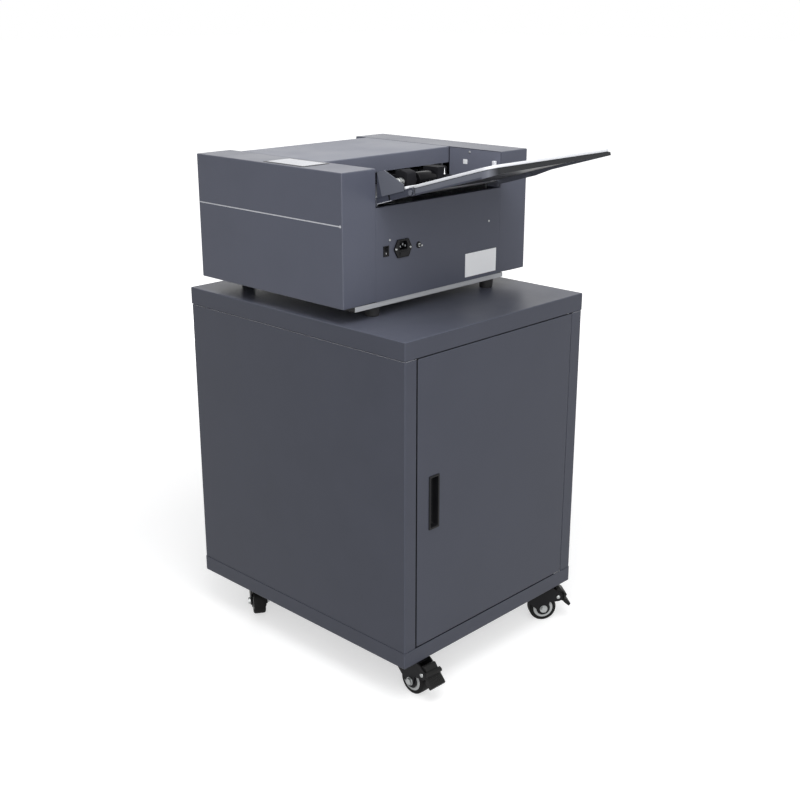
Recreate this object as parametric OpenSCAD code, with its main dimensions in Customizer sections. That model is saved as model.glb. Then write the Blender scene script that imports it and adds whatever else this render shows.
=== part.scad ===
// Automatic card cutter on its wheeled cabinet.
// Millimetres, +Z up. The origin is on the floor under the middle of the cabinet,
// -Y is the face with the cabinet door and the feed tray, -X is the side with the touch screen.

/* [Cabinet] */
// Width of the cabinet
cab_w = 550; // [520:5:620]
// Depth of the cabinet
cab_d = 650; // [620:5:720]
// Height of the cabinet without its casters
cab_h = 682; // [600:2:760]
// Height of the lip of the folded top
lip_h = 36.5; // [30:0.5:45]
// Height of the base pan
base_h = 35; // [30:1:45]
// Thickness of the cabinet's sheet steel
sheet_t = 1.5; // [1.2:0.1:2]
// Width of the front stiles beside the door
stile_w = 34; // [30:1:45]

/* [Door] */
// Seam around the door
door_gap = 1.5; // [1.2:0.1:2]
// Depth of the folded door
door_t = 18; // [16:1:24]
// Radius of the door's pivot pins
pin_r = 2.5; // [2:0.25:3]
// Pivot axis in from the door's edge
pin_in = 10; // [9:0.5:14]
// Pivot axis back from the door's face
pin_back = 5; // [4.75:0.25:5.25]
// Width of the recessed pull
pull_w = 30; // [26:1:36]
// Height of the recessed pull
pull_h = 114; // [90:2:140]
// Pull in from the door's free edge
pull_in = 32.5; // [28:0.5:60]
// Pull up from the door's lower edge
pull_up = 247; // [150:1:300]
// Depth of the finger recess behind the door's face
pull_deep = 14; // [10:1:14]
// Wall and rim thickness of the pull
pull_t = 2; // [1.5:0.25:2.5]

/* [Casters] */
// Height from the floor to the cabinet
caster_h = 90; // [88:1:100]
// Radius of the wheels
wheel_r = 31.5; // [28:0.5:32]
// Width of the wheels
wheel_w = 28; // [24:1:30]
// Radius of the wheel's core inside the tyre
core_r = 21; // [20:0.5:23]
// Axle behind the swivel axis
trail = 18; // [16:1:22]
// Swivel axes left and right of the middle
caster_x = 208; // [180:1:215]
// Front swivel axes in from the cabinet's front
caster_front = 47; // [42:1:80]
// Back swivel axes in from the cabinet's back
caster_back = 106; // [60:1:120]
// Side of the square top plate
plate_side = 62; // [56:1:70]
// Thickness of the top plate and of the fork's legs
plate_t = 3; // [2.5:0.5:4]
// Radius of the kingpin
king_r = 6; // [5:0.5:7]
// Radius of the axle bolt
axle_r = 4; // [3:0.5:5]
// Brake pivot behind the axle
brake_out = 34; // [33:0.5:38]
// Brake pivot above the axle
brake_up = 28; // [27:0.5:30]

/* [Machine body] */
// Width over the covers
mach_w = 550; // [530:5:600]
// Depth over the covers
mach_d = 440; // [430:5:480]
// Height of the covers above the paper path
head_h = 60; // [56:2:80]
// Machine's front back from the cabinet's front
mach_back = 163; // [120:1:200]
// Gap between the cabinet's top and the covers
stand_h = 32; // [28:1:45]
// Thickness of the base plate
base_t = 10; // [8:1:12]
// Base plate in from the covers' sides
base_in = 32; // [24:1:40]
// Cut-out in the base plate's front right corner
base_cut = 40; // [20:1:45]
// Radius of the rubber feet
foot_r = 16; // [12:1:20]
// Feet in from the covers' sides
foot_in = 100; // [75:1:125]
// Front feet back from the machine's front
foot_front = 24; // [20:1:60]
// Back feet in from the machine's back
foot_rear = 30; // [22:1:100]
// Thickness of the covers' sheet
cover_t = 1.5; // [1.2:0.1:2]
// Width of the side covers
side_w = 88; // [80:1:90]
// Front panel's upper edge below the paper path
panel_drop = 15; // [12:1:20]
// Back panel's upper edge below the paper path
rear_drop = 50; // [35:1:80]
// Top cover's front edge behind the machine's front
top_front = 146; // [140:1:150]
// Top cover's back edge in from the machine's back
top_rear = 35; // [30:1:38]
// Depth of the top cover's front face
top_drop = 34; // [30:0.5:36]
// Seam between covers
seam = 0.8; // [0.5:0.1:1.2]

/* [Frame and paper path] */
// Height of the paper path above the covers' lower edge
path_h = 200; // [198:0.5:202]
// Thickness of the side frames
frame_t = 6; // [5:0.5:8]
// Side frames' inner faces in from the notch's walls
frame_gap = 15; // [14:1:17]
// Radius of the roller shafts
shaft_r = 5; // [4:0.5:5.5]
// Radius of the feed and exit rollers
roller_r = 12; // [11:0.5:12.5]
// Feed rollers behind the machine's front
feed_v = 170; // [169:0.5:172]
// Radius of the pick-up roller
pick_r = 18; // [16:0.5:19]
// Length of the pick-up roller
pick_l = 50; // [40:1:56]
// Pick-up roller ahead of the feed rollers
pick_reach = 120; // [110:1:124]
// Slitter shafts behind the machine's front
slit_v = 216; // [214:1:222]
// Distance between the two slitter shafts
slit_gap = 38; // [36:0.5:40]
// Radius of the slitter shafts
slit_shaft_r = 6; // [5:0.5:7]
// Overlap of the slitter discs
slit_bite = 2; // [1:0.25:3]
// Cutting plane in from the machine's back
knife_in = 136; // [132:1:140]
// Stroke of the moving knife
knife_stroke = 14; // [10:1:15]
// Exit roller in from the machine's back
exit_in = 92; // [88:1:95]

/* [Feed tray] */
// Slope of the tray
tray_tilt = 16; // [12:0.5:20]
// Height of the tray's inner edge above the paper path
tray_lift = 4; // [3:0.25:5]
// Length from the machine's front to the tray's outer edge, along the slope
tray_len = 289; // [240:1:300]
// Bracket's arms in from the notch's walls
arm_gap = 4; // [3:0.1:4.5]
// Thickness of the arms
arm_t = 2; // [1.5:0.25:2.5]
// Height of the arms
arm_h = 14; // [13.5:0.25:16]
// Depth of the tray's left flange
flange_h = 12.5; // [11:0.5:15]
// Depth of the tray's outer lip at its left end
lip_left = 10; // [9:0.5:11]
// Depth of the tray's outer lip at its right end
lip_right = 7; // [6:0.5:8]
// Radius of the tray's outer left corner
corner_r = 24; // [16:1:40]
// Tray pivot from the machine's front, along the slope
pivot_s = 91; // [88:0.5:95]
// Tray pivot below the tray's face
pivot_n = 5.5; // [5:0.25:6]
// Thickness of the tray's sheet
tray_t = 1.5; // [1.2:0.1:2]
// Thickness of the white bed
bed_t = 6.5; // [4:0.25:7]
// Height of the left-hand side guard
guard_h = 47; // [40:1:50]

/* [Electrics] */
// Height of the row of sockets on the front panel
port_h = 98; // [80:1:110]
// Mains inlet in from the left end of the front panel
inlet_in = 74; // [69:1:82]
// Switch in from the left end of the front panel
switch_in = 28; // [27:1:35]
// Earth stud in from the left end of the front panel
earth_in = 120.5; // [117:0.5:127]
// Width of the blank rating plate
rating_w = 100; // [80:1:110]
// Height of the blank rating plate
rating_h = 50; // [40:1:60]
// Width of the touch screen
screen_w = 70; // [60:1:72]
// Length of the touch screen
screen_l = 120; // [100:1:130]
// Near end of the touch screen behind the machine's front
screen_v = 116; // [100:1:130]

/* [Hidden] */
$fn = 48;
// Running clearance of a pin or shaft in its hole
run_c = 0.05;
// Clearance between faces that pass each other
pass_c = 0.3;
// Overshoot of a cut past the face it opens
over = 1;

front_y = -cab_d / 2;
wall_x = cab_w / 2 - sheet_t;
shell_low = caster_h + base_h;
shell_high = caster_h + cab_h - lip_h;
door_half = cab_w / 2 - stile_w - door_gap;
door_low = shell_low + door_gap + 0.5;
door_top = shell_high - 1;
pin_x = door_half - pin_in;
pin_y = front_y + pin_back;
bracket_t = 3;
shelf_z = shell_low - bracket_t;
pull_x = -door_half + pull_in;
pull_z = door_low + pull_up;

lift_z = caster_h + cab_h + stand_h;
mach_y = front_y + mach_back;
mach_h = path_h + head_h;
panel_h = path_h - panel_drop;
rear_h = path_h - rear_drop;
notch_x = mach_w / 2 - side_w;
foot_x = mach_w / 2 - foot_in;
frame_x = notch_x - frame_gap;
arm_x = notch_x - arm_gap;
inlet_x = inlet_in - notch_x;
switch_x = switch_in - notch_x;
earth_x = earth_in - notch_x;
knife_v = mach_d - knife_in;
exit_v = mach_d - exit_in;
base_x = mach_w / 2 - base_in;
frame_out = frame_x + frame_t;
table_x = arm_x - arm_t;
table_t = 2;
table_in = 2;
motor_side = 42;
table_step = feed_v - motor_side / 2 - 2;
table_back = feed_v - roller_r - 3;
frame_low = path_h - 10;
frame_high = path_h + 32;
frame_in = 30;
lug_r = 8;
roll_low = path_h - roller_r - 0.2;
roll_high = path_h + roller_r + 0.2;
disc_r = (slit_gap + slit_bite) / 2;
disc_t = 4;
disc_x = frame_x - 52;
roll_half = frame_x - 12;
slit_low = path_h - slit_gap / 2;
slit_high = path_h + slit_gap / 2;
lid_axis_v = mach_d - top_rear - 12;
lid_axis_w = mach_h - 14;
lid_pin_r = 3;
lid_half = notch_x - seam;
pick_v = feed_v - pick_reach;
pick_w = path_h + pick_r + 0.3;
pick_shaft_r = 4;
cheek_x = pick_l / 2 + 2;
cheek_t = 4;
pivot_r = 2.5;
arm_up = 3;
arm_end = 9;
tray_half = table_x - 0.7;
tray_in = pivot_s - arm_end;
apron_len = pivot_s - 15;
belt_x = frame_out + 14;
belt_w = 8;
pulley_r = 10;
gear_x = frame_out + 3;
gear_w = 7;
gear_teeth = 24;
lug_low = path_h - 50;
lug_h = 26;
knife_rod_r = 4;
knife_rod_x = frame_x - 6;
knife_rod_v = knife_v + 10;
axle_z = wheel_r;
fork_in = wheel_w / 2 + 2.5;
fork_top = caster_h - 8;
head_r = 26;
head_t = 6;
race_r = 20;
king_cap = 3;
king_low = fork_top - head_t - king_cap;
lobe_r = 11;
rivet_r = 2.5;
guard_r = core_r - 5;
inlet_half = [13.5, 16.5];
inlet_rim = 3;
inlet_pitch = 20;
switch_half = [6.2, 9.5];
bezel_t = 1.5;
rocker_v = 4;
rocker_pin = 1.2;
stud_r = 2;
screw_r = 2.5;
screw_t = 1.2;

// Swivel axis x and y, heading of the trailing wheel in degrees, and whether it has a brake
CASTERS = [
    [-caster_x, front_y + caster_front, 268, true],
    [caster_x, front_y + caster_front, 323, true],
    [-caster_x, -front_y - caster_back, 236, false],
    [caster_x, -front_y - caster_back, 250, false]
];

// Box between two opposite corners
module span(a, b) {
    translate(a)
        cube(b - a);
}

// Frame of the machine: x, depth behind its front face, height above the covers' lower edge
module in_machine() {
    translate([0, mach_y, lift_z])
        children();
}

// Frame of the sloping tray: -y runs outward along the slope, z is square to the tray's face
module on_slope() {
    in_machine()
        translate([0, 0, path_h + tray_lift])
            rotate([-tray_tilt, 0, 0])
                children();
}

// Outline in depth and height, extruded along X from x0 to x1
module along_x(x0, x1) {
    translate([x0, 0, 0])
        rotate([90, 0, 90])
            linear_extrude(x1 - x0)
                children();
}

// Round bar along X
module rod(x0, x1, v, w, r) {
    translate([x0, v, w])
        rotate([0, 90, 0])
            cylinder(h = x1 - x0, r = r);
}

// Frame of one caster: x along its trailing wheel, origin on the floor under the swivel axis
module in_caster(c) {
    translate([c[0], c[1], 0])
        rotate([0, 0, c[2]])
            children();
}

// Round bar across the caster, along its axle
module cross_rod(half, x, z, r) {
    translate([x, -half, z])
        rotate([-90, 0, 0])
            cylinder(h = 2 * half, r = r);
}

// Outline in the caster's side view, extruded across it from y0 to y1
module side_plate(y0, y1) {
    translate([0, y1, 0])
        rotate([90, 0, 0])
            linear_extrude(y1 - y0)
                children();
}

// Top plates with their races and kingpins, bolted under the base pan
module caster_plates() {
    color("dimgray")
        for (c = CASTERS)
            translate([c[0], c[1], 0]) {
                translate([-plate_side / 2, -plate_side / 2, caster_h - plate_t])
                    cube([plate_side, plate_side, plate_t]);
                translate([0, 0, fork_top + pass_c])
                    cylinder(h = caster_h - fork_top - pass_c, r = race_r);
                translate([0, 0, king_low])
                    cylinder(h = caster_h - king_low, r = king_r);
                translate([0, 0, king_low])
                    cylinder(h = king_cap - pass_c, r = king_r + king_cap);
            }
}

// Outline of one fork leg, from the swivel head down to the axle and out to the brake's pivot
module fork_leg(brake) {
    difference() {
        union() {
            polygon([
                [trail - 8, axle_z - 7], [trail - 24, axle_z + 7], [-head_r, axle_z + 27],
                [-head_r, fork_top], [trail + 20, fork_top], [trail + 14, axle_z + 16], [trail + 10, axle_z]
            ]);
            translate([trail, axle_z])
                circle(r = 10.5);
            if (brake) {
                translate([trail + brake_out, axle_z + brake_up])
                    circle(r = lobe_r);
                polygon([
                    [trail + 8, axle_z + 16], [trail + brake_out - 2, axle_z + brake_up - lobe_r],
                    [trail + brake_out + 5, axle_z + brake_up + lobe_r - 1.5],
                    [trail + 20, fork_top], [trail, fork_top]
                ]);
            }
        }
        translate([trail, axle_z])
            circle(r = axle_r + run_c);
    }
}

// Pressed fork: swivel head, two legs, thread guards, and on the braked ones the brake's pivot pin
module caster_fork(c) {
    color("#222426")
        in_caster(c)
            difference() {
                union() {
                    translate([0, 0, fork_top - head_t])
                        cylinder(h = head_t, r = head_r);
                    span([-head_r + 6, -fork_in, fork_top - head_t], [trail + 18, fork_in, fork_top]);
                    for (s = [-1, 1])
                        side_plate(min(s * fork_in, s * (fork_in + plate_t)),
                                   max(s * fork_in, s * (fork_in + plate_t)))
                            fork_leg(c[3]);
                    for (s = [0, 1])
                        mirror([0, s, 0])
                            translate([trail, fork_in, axle_z])
                                rotate([90, 0, 0])
                                    cylinder(h = fork_in - wheel_w / 2 - 0.5, r = guard_r);
                    if (c[3])
                        cross_rod(fork_in + plate_t + 1.5, trail + brake_out, axle_z + brake_up, rivet_r);
                }
                translate([0, 0, fork_top - head_t - over])
                    cylinder(h = head_t + 2 * over, r = king_r + run_c);
                cross_rod(fork_in + plate_t + over, trail, axle_z, axle_r + run_c);
            }
}

// Axle bolt with its head and nut outside the legs
module caster_axle(c) {
    washer_r = 9;
    nut_r = 7.5;
    nut_t = 5;
    color("silver")
        in_caster(c) {
            cross_rod(fork_in + plate_t, trail, axle_z, axle_r);
            for (s = [0, 1])
                mirror([0, s, 0])
                    translate([trail, fork_in + plate_t, axle_z])
                        rotate([-90, 0, 0]) {
                            cylinder(h = 1, r = washer_r);
                            cylinder(h = nut_t, r = nut_r, $fn = 6);
                        }
        }
}

// Core of the wheel, bored for the axle
module caster_hub(c) {
    half = wheel_w / 2;
    color("lightgray")
        in_caster(c)
            translate([trail, 0, axle_z])
                rotate([-90, 0, 0])
                    rotate_extrude()
                        polygon([
                            [axle_r + run_c, -half], [core_r - run_c, -half], [core_r - run_c, half],
                            [axle_r + run_c, half]
                        ]);
}

// Tyre moulded over the core, with rounded shoulders
module caster_tyre(c) {
    half = wheel_w / 2;
    soft = 4;
    color("#1b1c1e")
        in_caster(c)
            translate([trail, 0, axle_z])
                rotate([-90, 0, 0])
                    rotate_extrude()
                        difference() {
                            union() {
                                translate([core_r, -half])
                                    square([wheel_r - core_r - soft, wheel_w]);
                                translate([core_r, -half + soft])
                                    square([wheel_r - core_r, wheel_w - 2 * soft]);
                                for (z = [-half + soft, half - soft])
                                    translate([wheel_r - soft, z])
                                        circle(r = soft);
                            }
                            translate([core_r - 20, -half - over])
                                square([20, wheel_w + 2 * over]);
                        }
}

// Brake pedal: a hub with a release tab between the legs, and a wide toe outside them
module brake_pedal(c) {
    half = fork_in - 1;
    toe_half = 21;
    color("#1f2123")
        in_caster(c)
            translate([trail + brake_out, 0, axle_z + brake_up])
                difference() {
                    union() {
                        side_plate(-half, half)
                            polygon([
                                [-5, 6], [-3, 19], [5, 21], [12, 12], [14, -2], [14, -14], [4, -9], [-5, -6]
                            ]);
                        side_plate(-toe_half, toe_half)
                            polygon([
                                [12, 12], [19, 8], [20, 4], [15, -2], [30, -18], [26, -25], [13, -13]
                            ]);
                    }
                    cross_rod(half + over, 0, 0, rivet_r + run_c);
                }
}

// Base pan of the cabinet: floor and a low wall all round
module cabinet_base() {
    color("#4b4e56")
        difference() {
            span([-cab_w / 2, front_y, caster_h], [cab_w / 2, -front_y, shell_low]);
            span([-wall_x, front_y + sheet_t, caster_h + sheet_t],
                 [wall_x, -front_y - sheet_t, shell_low + over]);
        }
}

// Pivot bracket of the door: an angle on the right wall with the pin's hole
module door_bracket(z0, low, high) {
    face_y = front_y + sheet_t + pass_c;
    flange_d = 24;
    shelf_d = 18;
    shelf_in = 10;
    difference() {
        union() {
            span([wall_x - bracket_t, face_y, low], [wall_x, face_y + flange_d, high]);
            span([pin_x - shelf_in, face_y, z0], [wall_x, face_y + shelf_d, z0 + bracket_t]);
        }
        translate([pin_x, pin_y, z0 - over])
            cylinder(h = bracket_t + 2 * over, r = pin_r + run_c);
    }
}

// Wrapped shell of the cabinet: two sides, back, front stiles and the welded door brackets
module cabinet_shell() {
    bracket_h = 45;
    upper_z = door_top + 2;
    color("#4b4e56") {
        difference() {
            span([-cab_w / 2, front_y, shell_low], [cab_w / 2, -front_y, shell_high]);
            span([-wall_x, front_y + sheet_t, shell_low - over],
                 [wall_x, -front_y - sheet_t, shell_high + over]);
            span([-door_half - door_gap, front_y - over, shell_low - over],
                 [door_half + door_gap, front_y + sheet_t + over, shell_high + over]);
        }
        door_bracket(shelf_z, shelf_z, shell_low + bracket_h);
        door_bracket(upper_z, door_top - bracket_h, upper_z + bracket_t);
    }
}

// Folded top of the cabinet, which the machine stands on
module cabinet_top() {
    high = caster_h + cab_h;
    color("#5a5e67")
        difference() {
            span([-cab_w / 2, front_y, shell_high], [cab_w / 2, -front_y, high]);
            span([-wall_x, front_y + sheet_t, shell_high - over],
                 [wall_x, -front_y - sheet_t, high - sheet_t]);
        }
}

// Folded door with the cut-out for its pull
module cabinet_door() {
    color("#53575f")
        difference() {
            span([-door_half, front_y, door_low], [door_half, front_y + door_t, door_top]);
            span([-door_half + sheet_t, front_y + sheet_t, door_low + sheet_t],
                 [door_half - sheet_t, front_y + door_t + over, door_top - sheet_t]);
            span([pull_x + pull_t, front_y - over, pull_z + pull_t],
                 [pull_x + pull_w - pull_t, front_y + sheet_t + over, pull_z + pull_h - pull_t]);
            translate([pin_x, pin_y, door_low - over])
                cylinder(h = door_top - door_low + 2 * over, r = pin_r + run_c);
        }
}

// Recessed plastic pull: a rim on the door's face and a cup behind it
module door_pull() {
    rim = pull_t + 0.1;
    well = 2 * pull_t;
    color("#1c1d1f")
        difference() {
            union() {
                span([pull_x, front_y - pull_t, pull_z], [pull_x + pull_w, front_y, pull_z + pull_h]);
                span([pull_x + rim, front_y, pull_z + rim],
                     [pull_x + pull_w - rim, front_y + pull_deep + pull_t, pull_z + pull_h - rim]);
            }
            span([pull_x + well, front_y - pull_t - over, pull_z + well],
                 [pull_x + pull_w - well, front_y + pull_deep, pull_z + pull_h - well]);
        }
}

// Pivot pins of the door; the lower one has a collar that carries the door
module door_pins() {
    pin_l = 20;
    stick_up = 6;
    stick_down = 8;
    color("silver") {
        translate([pin_x, pin_y, door_top + stick_up - pin_l])
            cylinder(h = pin_l, r = pin_r);
        translate([pin_x, pin_y, door_low - stick_down])
            cylinder(h = pin_l, r = pin_r);
        translate([pin_x, pin_y, shelf_z + bracket_t])
            cylinder(h = door_low - shelf_z - bracket_t, r = pin_r + 1);
    }
}

// Rubber feet between the cabinet's top and the base plate
module machine_feet() {
    color("#1c1d1f")
        in_machine()
            for (x = [-foot_x, foot_x], v = [foot_front, mach_d - foot_rear])
                translate([x, v, -stand_h])
                    cylinder(h = stand_h - base_t, r1 = foot_r - 2, r2 = foot_r);
}

// Base plate that everything in the machine is bolted to
module base_plate() {
    color("silver")
        in_machine()
            difference() {
                span([-base_x, 0.5, -base_t], [base_x, mach_d - 0.5, 0]);
                span([base_x - base_cut, -over, -base_t - over], [base_x + over, base_cut, over]);
            }
}

// Outline of a side frame with its shaft holes and the lid's hinge lug
module frame_outline() {
    difference() {
        union() {
            polygon([
                [frame_in, 0], [mach_d - frame_in, 0], [mach_d - frame_in, frame_high],
                [table_back + 2, frame_high], [table_back + 2, frame_low], [frame_in, frame_low]
            ]);
            translate([lid_axis_v, lid_axis_w])
                circle(r = lug_r);
            translate([lid_axis_v - lug_r, frame_high - over])
                square([2 * lug_r, lid_axis_w - frame_high + over]);
        }
        for (w = [roll_low, roll_high])
            translate([feed_v, w])
                circle(r = shaft_r + run_c);
        for (w = [slit_low, slit_high])
            translate([slit_v, w])
                circle(r = slit_shaft_r + run_c);
        translate([exit_v, roll_low])
            circle(r = shaft_r + run_c);
        translate([lid_axis_v, lid_axis_w])
            circle(r = lid_pin_r + run_c);
    }
}

// Side frame on the touch screen's side
module frame_left() {
    color("gainsboro")
        in_machine()
            along_x(-frame_out, -frame_x)
                frame_outline();
}

// Side frame on the other side
module frame_right() {
    color("gainsboro")
        in_machine()
            along_x(frame_x, frame_out)
                frame_outline();
}

// Round bars that hold the side frames apart
module tie_bars() {
    tie_r = 7;
    color("silver")
        in_machine()
            for (p = [[60, 60], [mach_d - 60, 60], [mach_d - 50, path_h + 2]])
                rod(-frame_x, frame_x, p[0], p[1], tie_r);
}

// Folded cover over one side bay, drawn for the right-hand side
module side_cover() {
    out_x = mach_w / 2;
    span([out_x - cover_t, 0, 0], [out_x, mach_d, mach_h]);
    span([notch_x, 0, mach_h - cover_t], [out_x, mach_d, mach_h]);
    span([notch_x, 0, 0], [out_x, cover_t, mach_h]);
    span([notch_x, mach_d - cover_t, 0], [out_x, mach_d, mach_h]);
    span([notch_x, 0, panel_h], [notch_x + cover_t, top_front, mach_h]);
    span([notch_x, mach_d - top_rear, rear_h], [notch_x + cover_t, mach_d, mach_h]);
}

// Left cover, with the cut-out for the touch screen
module left_cover() {
    mid = mach_w / 2 - side_w / 2;
    color("#5a5e67")
        in_machine()
            difference() {
                mirror([1, 0, 0])
                    side_cover();
                span([-mid - screen_w / 2 - 0.2, screen_v - 0.2, mach_h - cover_t - over],
                     [-mid + screen_w / 2 + 0.2, screen_v + screen_l + 0.2, mach_h + over]);
            }
}

// Right cover
module right_cover() {
    color("#5a5e67")
        in_machine()
            side_cover();
}

// Cut through the front panel for a body of the given half width and half height
module panel_cut(x, half) {
    translate([x, 0, port_h])
        span([-half[0] - pass_c, -over, -half[1] - pass_c],
             [half[0] + pass_c, cover_t + over, half[1] + pass_c]);
}

// Front panel under the feed notch, with the cut-outs for inlet, switch and earth stud
module front_panel() {
    half = notch_x - pass_c;
    fold = 14;
    color("#5a5e67")
        in_machine()
            difference() {
                union() {
                    span([-half, 0, 0], [half, cover_t, panel_h]);
                    span([-half, 0, panel_h - cover_t], [half, fold, panel_h]);
                }
                panel_cut(inlet_x, inlet_half);
                panel_cut(switch_x, switch_half);
                translate([earth_x, -over, port_h])
                    rotate([-90, 0, 0])
                        cylinder(h = cover_t + 2 * over, r = stud_r + run_c);
            }
}

// Back panel with the folded chute under the delivery notch
module back_panel() {
    half = notch_x - pass_c;
    chute_v = mach_d - 27;
    chute_w = rear_h + 34;
    color("#5a5e67")
        in_machine()
            along_x(-half, half)
                polygon([
                    [mach_d - cover_t, 0], [mach_d, 0], [mach_d, rear_h],
                    [chute_v, chute_w], [chute_v - 2, chute_w], [mach_d - cover_t, rear_h - 1]
                ]);
}

// Hinged top cover with its front face, side folds, back lip and hinge pins
module top_cover() {
    v0 = top_front;
    v1 = mach_d - top_rear;
    fold = lid_half - cover_t;
    fold_d = 18;
    lip_d = 8;
    color("#5a5e67")
        in_machine() {
            span([-lid_half, v0, mach_h - cover_t], [lid_half, v1, mach_h]);
            span([-lid_half, v0, mach_h - top_drop], [lid_half, v0 + cover_t, mach_h]);
            span([-lid_half, v1 - cover_t, mach_h - lip_d], [lid_half, v1, mach_h]);
            for (s = [0, 1])
                mirror([s, 0, 0]) {
                    span([fold, v0, mach_h - fold_d], [lid_half, v1, mach_h]);
                    rod(frame_x - 2, lid_half, lid_axis_v, lid_axis_w, lid_pin_r);
                }
        }
}

// Flat feed table inside the notch, standing on the side frames and narrower beside the motor
module feed_table() {
    color("#6a6e76")
        in_machine() {
            span([-table_x, table_in, path_h - table_t], [table_x, table_step, path_h]);
            span([-frame_x, table_step - over, path_h - table_t], [frame_x, table_back, path_h]);
            for (s = [0, 1])
                mirror([s, 0, 0])
                    span([frame_x, frame_in, frame_low], [table_x, table_step, path_h]);
        }
}

// Side guard on the outside of the left arm, drawn in the slope's own frame
module side_guard() {
    low = 0.5;
    back = -15.5;
    crest = -35;
    along_x(-arm_x - tray_t, -arm_x)
        polygon([
            [back, low], [back, guard_h], [crest, guard_h], [-pivot_s + 12, 11.5], [-pivot_s + 15, low]
        ]);
}

// Fixed bracket of the tray: apron, two arms with the pivot pins, side guard and table tabs
module tray_bracket() {
    tab_low = path_h - 12;
    tab_back = 50;
    pin_l = 5;
    head_l = 2;
    color("#565a62") {
        on_slope() {
            span([-table_x, -apron_len, -tray_t], [table_x, -1, 0]);
            for (s = [0, 1])
                mirror([s, 0, 0]) {
                    span([table_x, -pivot_s - arm_end, arm_up - arm_h], [arm_x, 2, arm_up]);
                    rod(table_x - pin_l, arm_x + head_l, -pivot_s, -pivot_n, pivot_r);
                    rod(arm_x, arm_x + head_l, -pivot_s, -pivot_n, 2 * pivot_r);
                }
            side_guard();
        }
        in_machine()
            for (s = [0, 1])
                mirror([s, 0, 0])
                    span([table_x, -1, tab_low], [arm_x, tab_back, path_h + 1]);
    }
}

// Plan of the tray with its rounded outer left corner, drawn in by inset, from its inner edge on
module tray_plan(inset, inner) {
    mid = [-tray_half + corner_r, -tray_len + corner_r];
    translate([-tray_half + inset, mid[1]])
        square([2 * (tray_half - inset), -inner - mid[1]]);
    translate([mid[0], -tray_len + inset])
        square([tray_half - inset - mid[0], corner_r]);
    translate(mid)
        circle(r = corner_r - inset);
}

// Folding feed tray: sheet with a flange round its free edges, deeper on the left and at the pivots
module feed_tray() {
    heel = 8;
    ear = pivot_n + 5;
    color("#565a62")
        on_slope()
            difference() {
                union() {
                    translate([0, 0, -tray_t])
                        linear_extrude(tray_t)
                            tray_plan(0, tray_in);
                    intersection() {
                        translate([0, 0, -flange_h])
                            linear_extrude(flange_h)
                                difference() {
                                    tray_plan(0, tray_in);
                                    tray_plan(tray_t, tray_in - over);
                                }
                        rotate([90, 0, 0])
                            linear_extrude(tray_len + over)
                                polygon([
                                    [-tray_half - over, 0], [tray_half + over, 0],
                                    [tray_half + over, -lip_right], [-tray_half + corner_r, -lip_left],
                                    [-tray_half, -flange_h], [-tray_half - over, -flange_h]
                                ]);
                    }
                    along_x(tray_half - tray_t, tray_half)
                        polygon([
                            [-tray_in, 0], [-tray_in - 60, 0], [-tray_in - 60, -lip_right],
                            [-tray_in - 22, -ear], [-tray_in, -ear]
                        ]);
                }
                along_x(-tray_half - over, tray_half + over)
                    polygon([
                        [-tray_in + over, -heel], [-tray_in, -heel], [-tray_in - heel, -flange_h - over],
                        [-tray_in + over, -flange_h - over]
                    ]);
                for (s = [0, 1])
                    mirror([s, 0, 0])
                        rod(tray_half - tray_t - over, tray_half + over,
                            -pivot_s, -pivot_n, pivot_r + run_c);
            }
}

// White bed plate on the tray
module tray_bed() {
    bed_in = 2;
    color("white")
        on_slope()
            linear_extrude(bed_t)
                tray_plan(bed_in, tray_in + bed_in);
}

// White side guide that slides across the feed table
module side_guide() {
    out_x = table_x - 1;
    near = 6;
    foot = [18, 34, 3];
    post = [7.5, 7.5, 41];
    color("white")
        in_machine() {
            span([out_x - foot[0], near, path_h + pass_c], [out_x, near + foot[1], path_h + foot[2]]);
            span([out_x - post[0], near, path_h + pass_c], [out_x, near + post[1], path_h + post[2]]);
        }
}

// Touch screen let into the left cover
module touch_screen() {
    mid = mach_w / 2 - side_w / 2;
    deep = 12;
    proud = 0.6;
    color("#20242c")
        in_machine()
            span([-mid - screen_w / 2, screen_v, mach_h - deep],
                 [-mid + screen_w / 2, screen_v + screen_l, mach_h + proud]);
}

// Mains inlet with its six-sided flange, socket, contact blades and fuse cavity
module power_inlet() {
    color("#17181a")
        in_machine()
            translate([inlet_x, 0, port_h]) {
                difference() {
                    union() {
                        rotate([90, 0, 0])
                            linear_extrude(inlet_rim)
                                polygon([[-25, 0], [-15, 18], [15, 18], [25, 0], [15, -18], [-15, -18]]);
                        span([-inlet_half[0], 0, -inlet_half[1]], [inlet_half[0], 30, inlet_half[1]]);
                    }
                    span([-11, -inlet_rim - over, -2], [11, 14, 14]);
                    span([-10, -inlet_rim - over, -13.5], [10, 24, -6]);
                    for (x = [-inlet_pitch, inlet_pitch])
                        translate([x, -inlet_rim - over, 0])
                            rotate([-90, 0, 0])
                                cylinder(h = inlet_rim + 2 * over, r = 1.6);
                }
                for (p = [[-7, 4], [0, 8], [7, 4]])
                    span([p[0] - 1, -1, p[1] - 2], [p[0] + 1, 15, p[1] + 2]);
            }
}

// Fuse drawer in the inlet's lower half
module fuse_drawer() {
    color("#222326")
        in_machine()
            translate([inlet_x, 0, port_h])
                span([-10 + pass_c, -inlet_rim - 1, -13.5 + pass_c], [10 - pass_c, 21, -6 - pass_c]);
}

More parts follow.
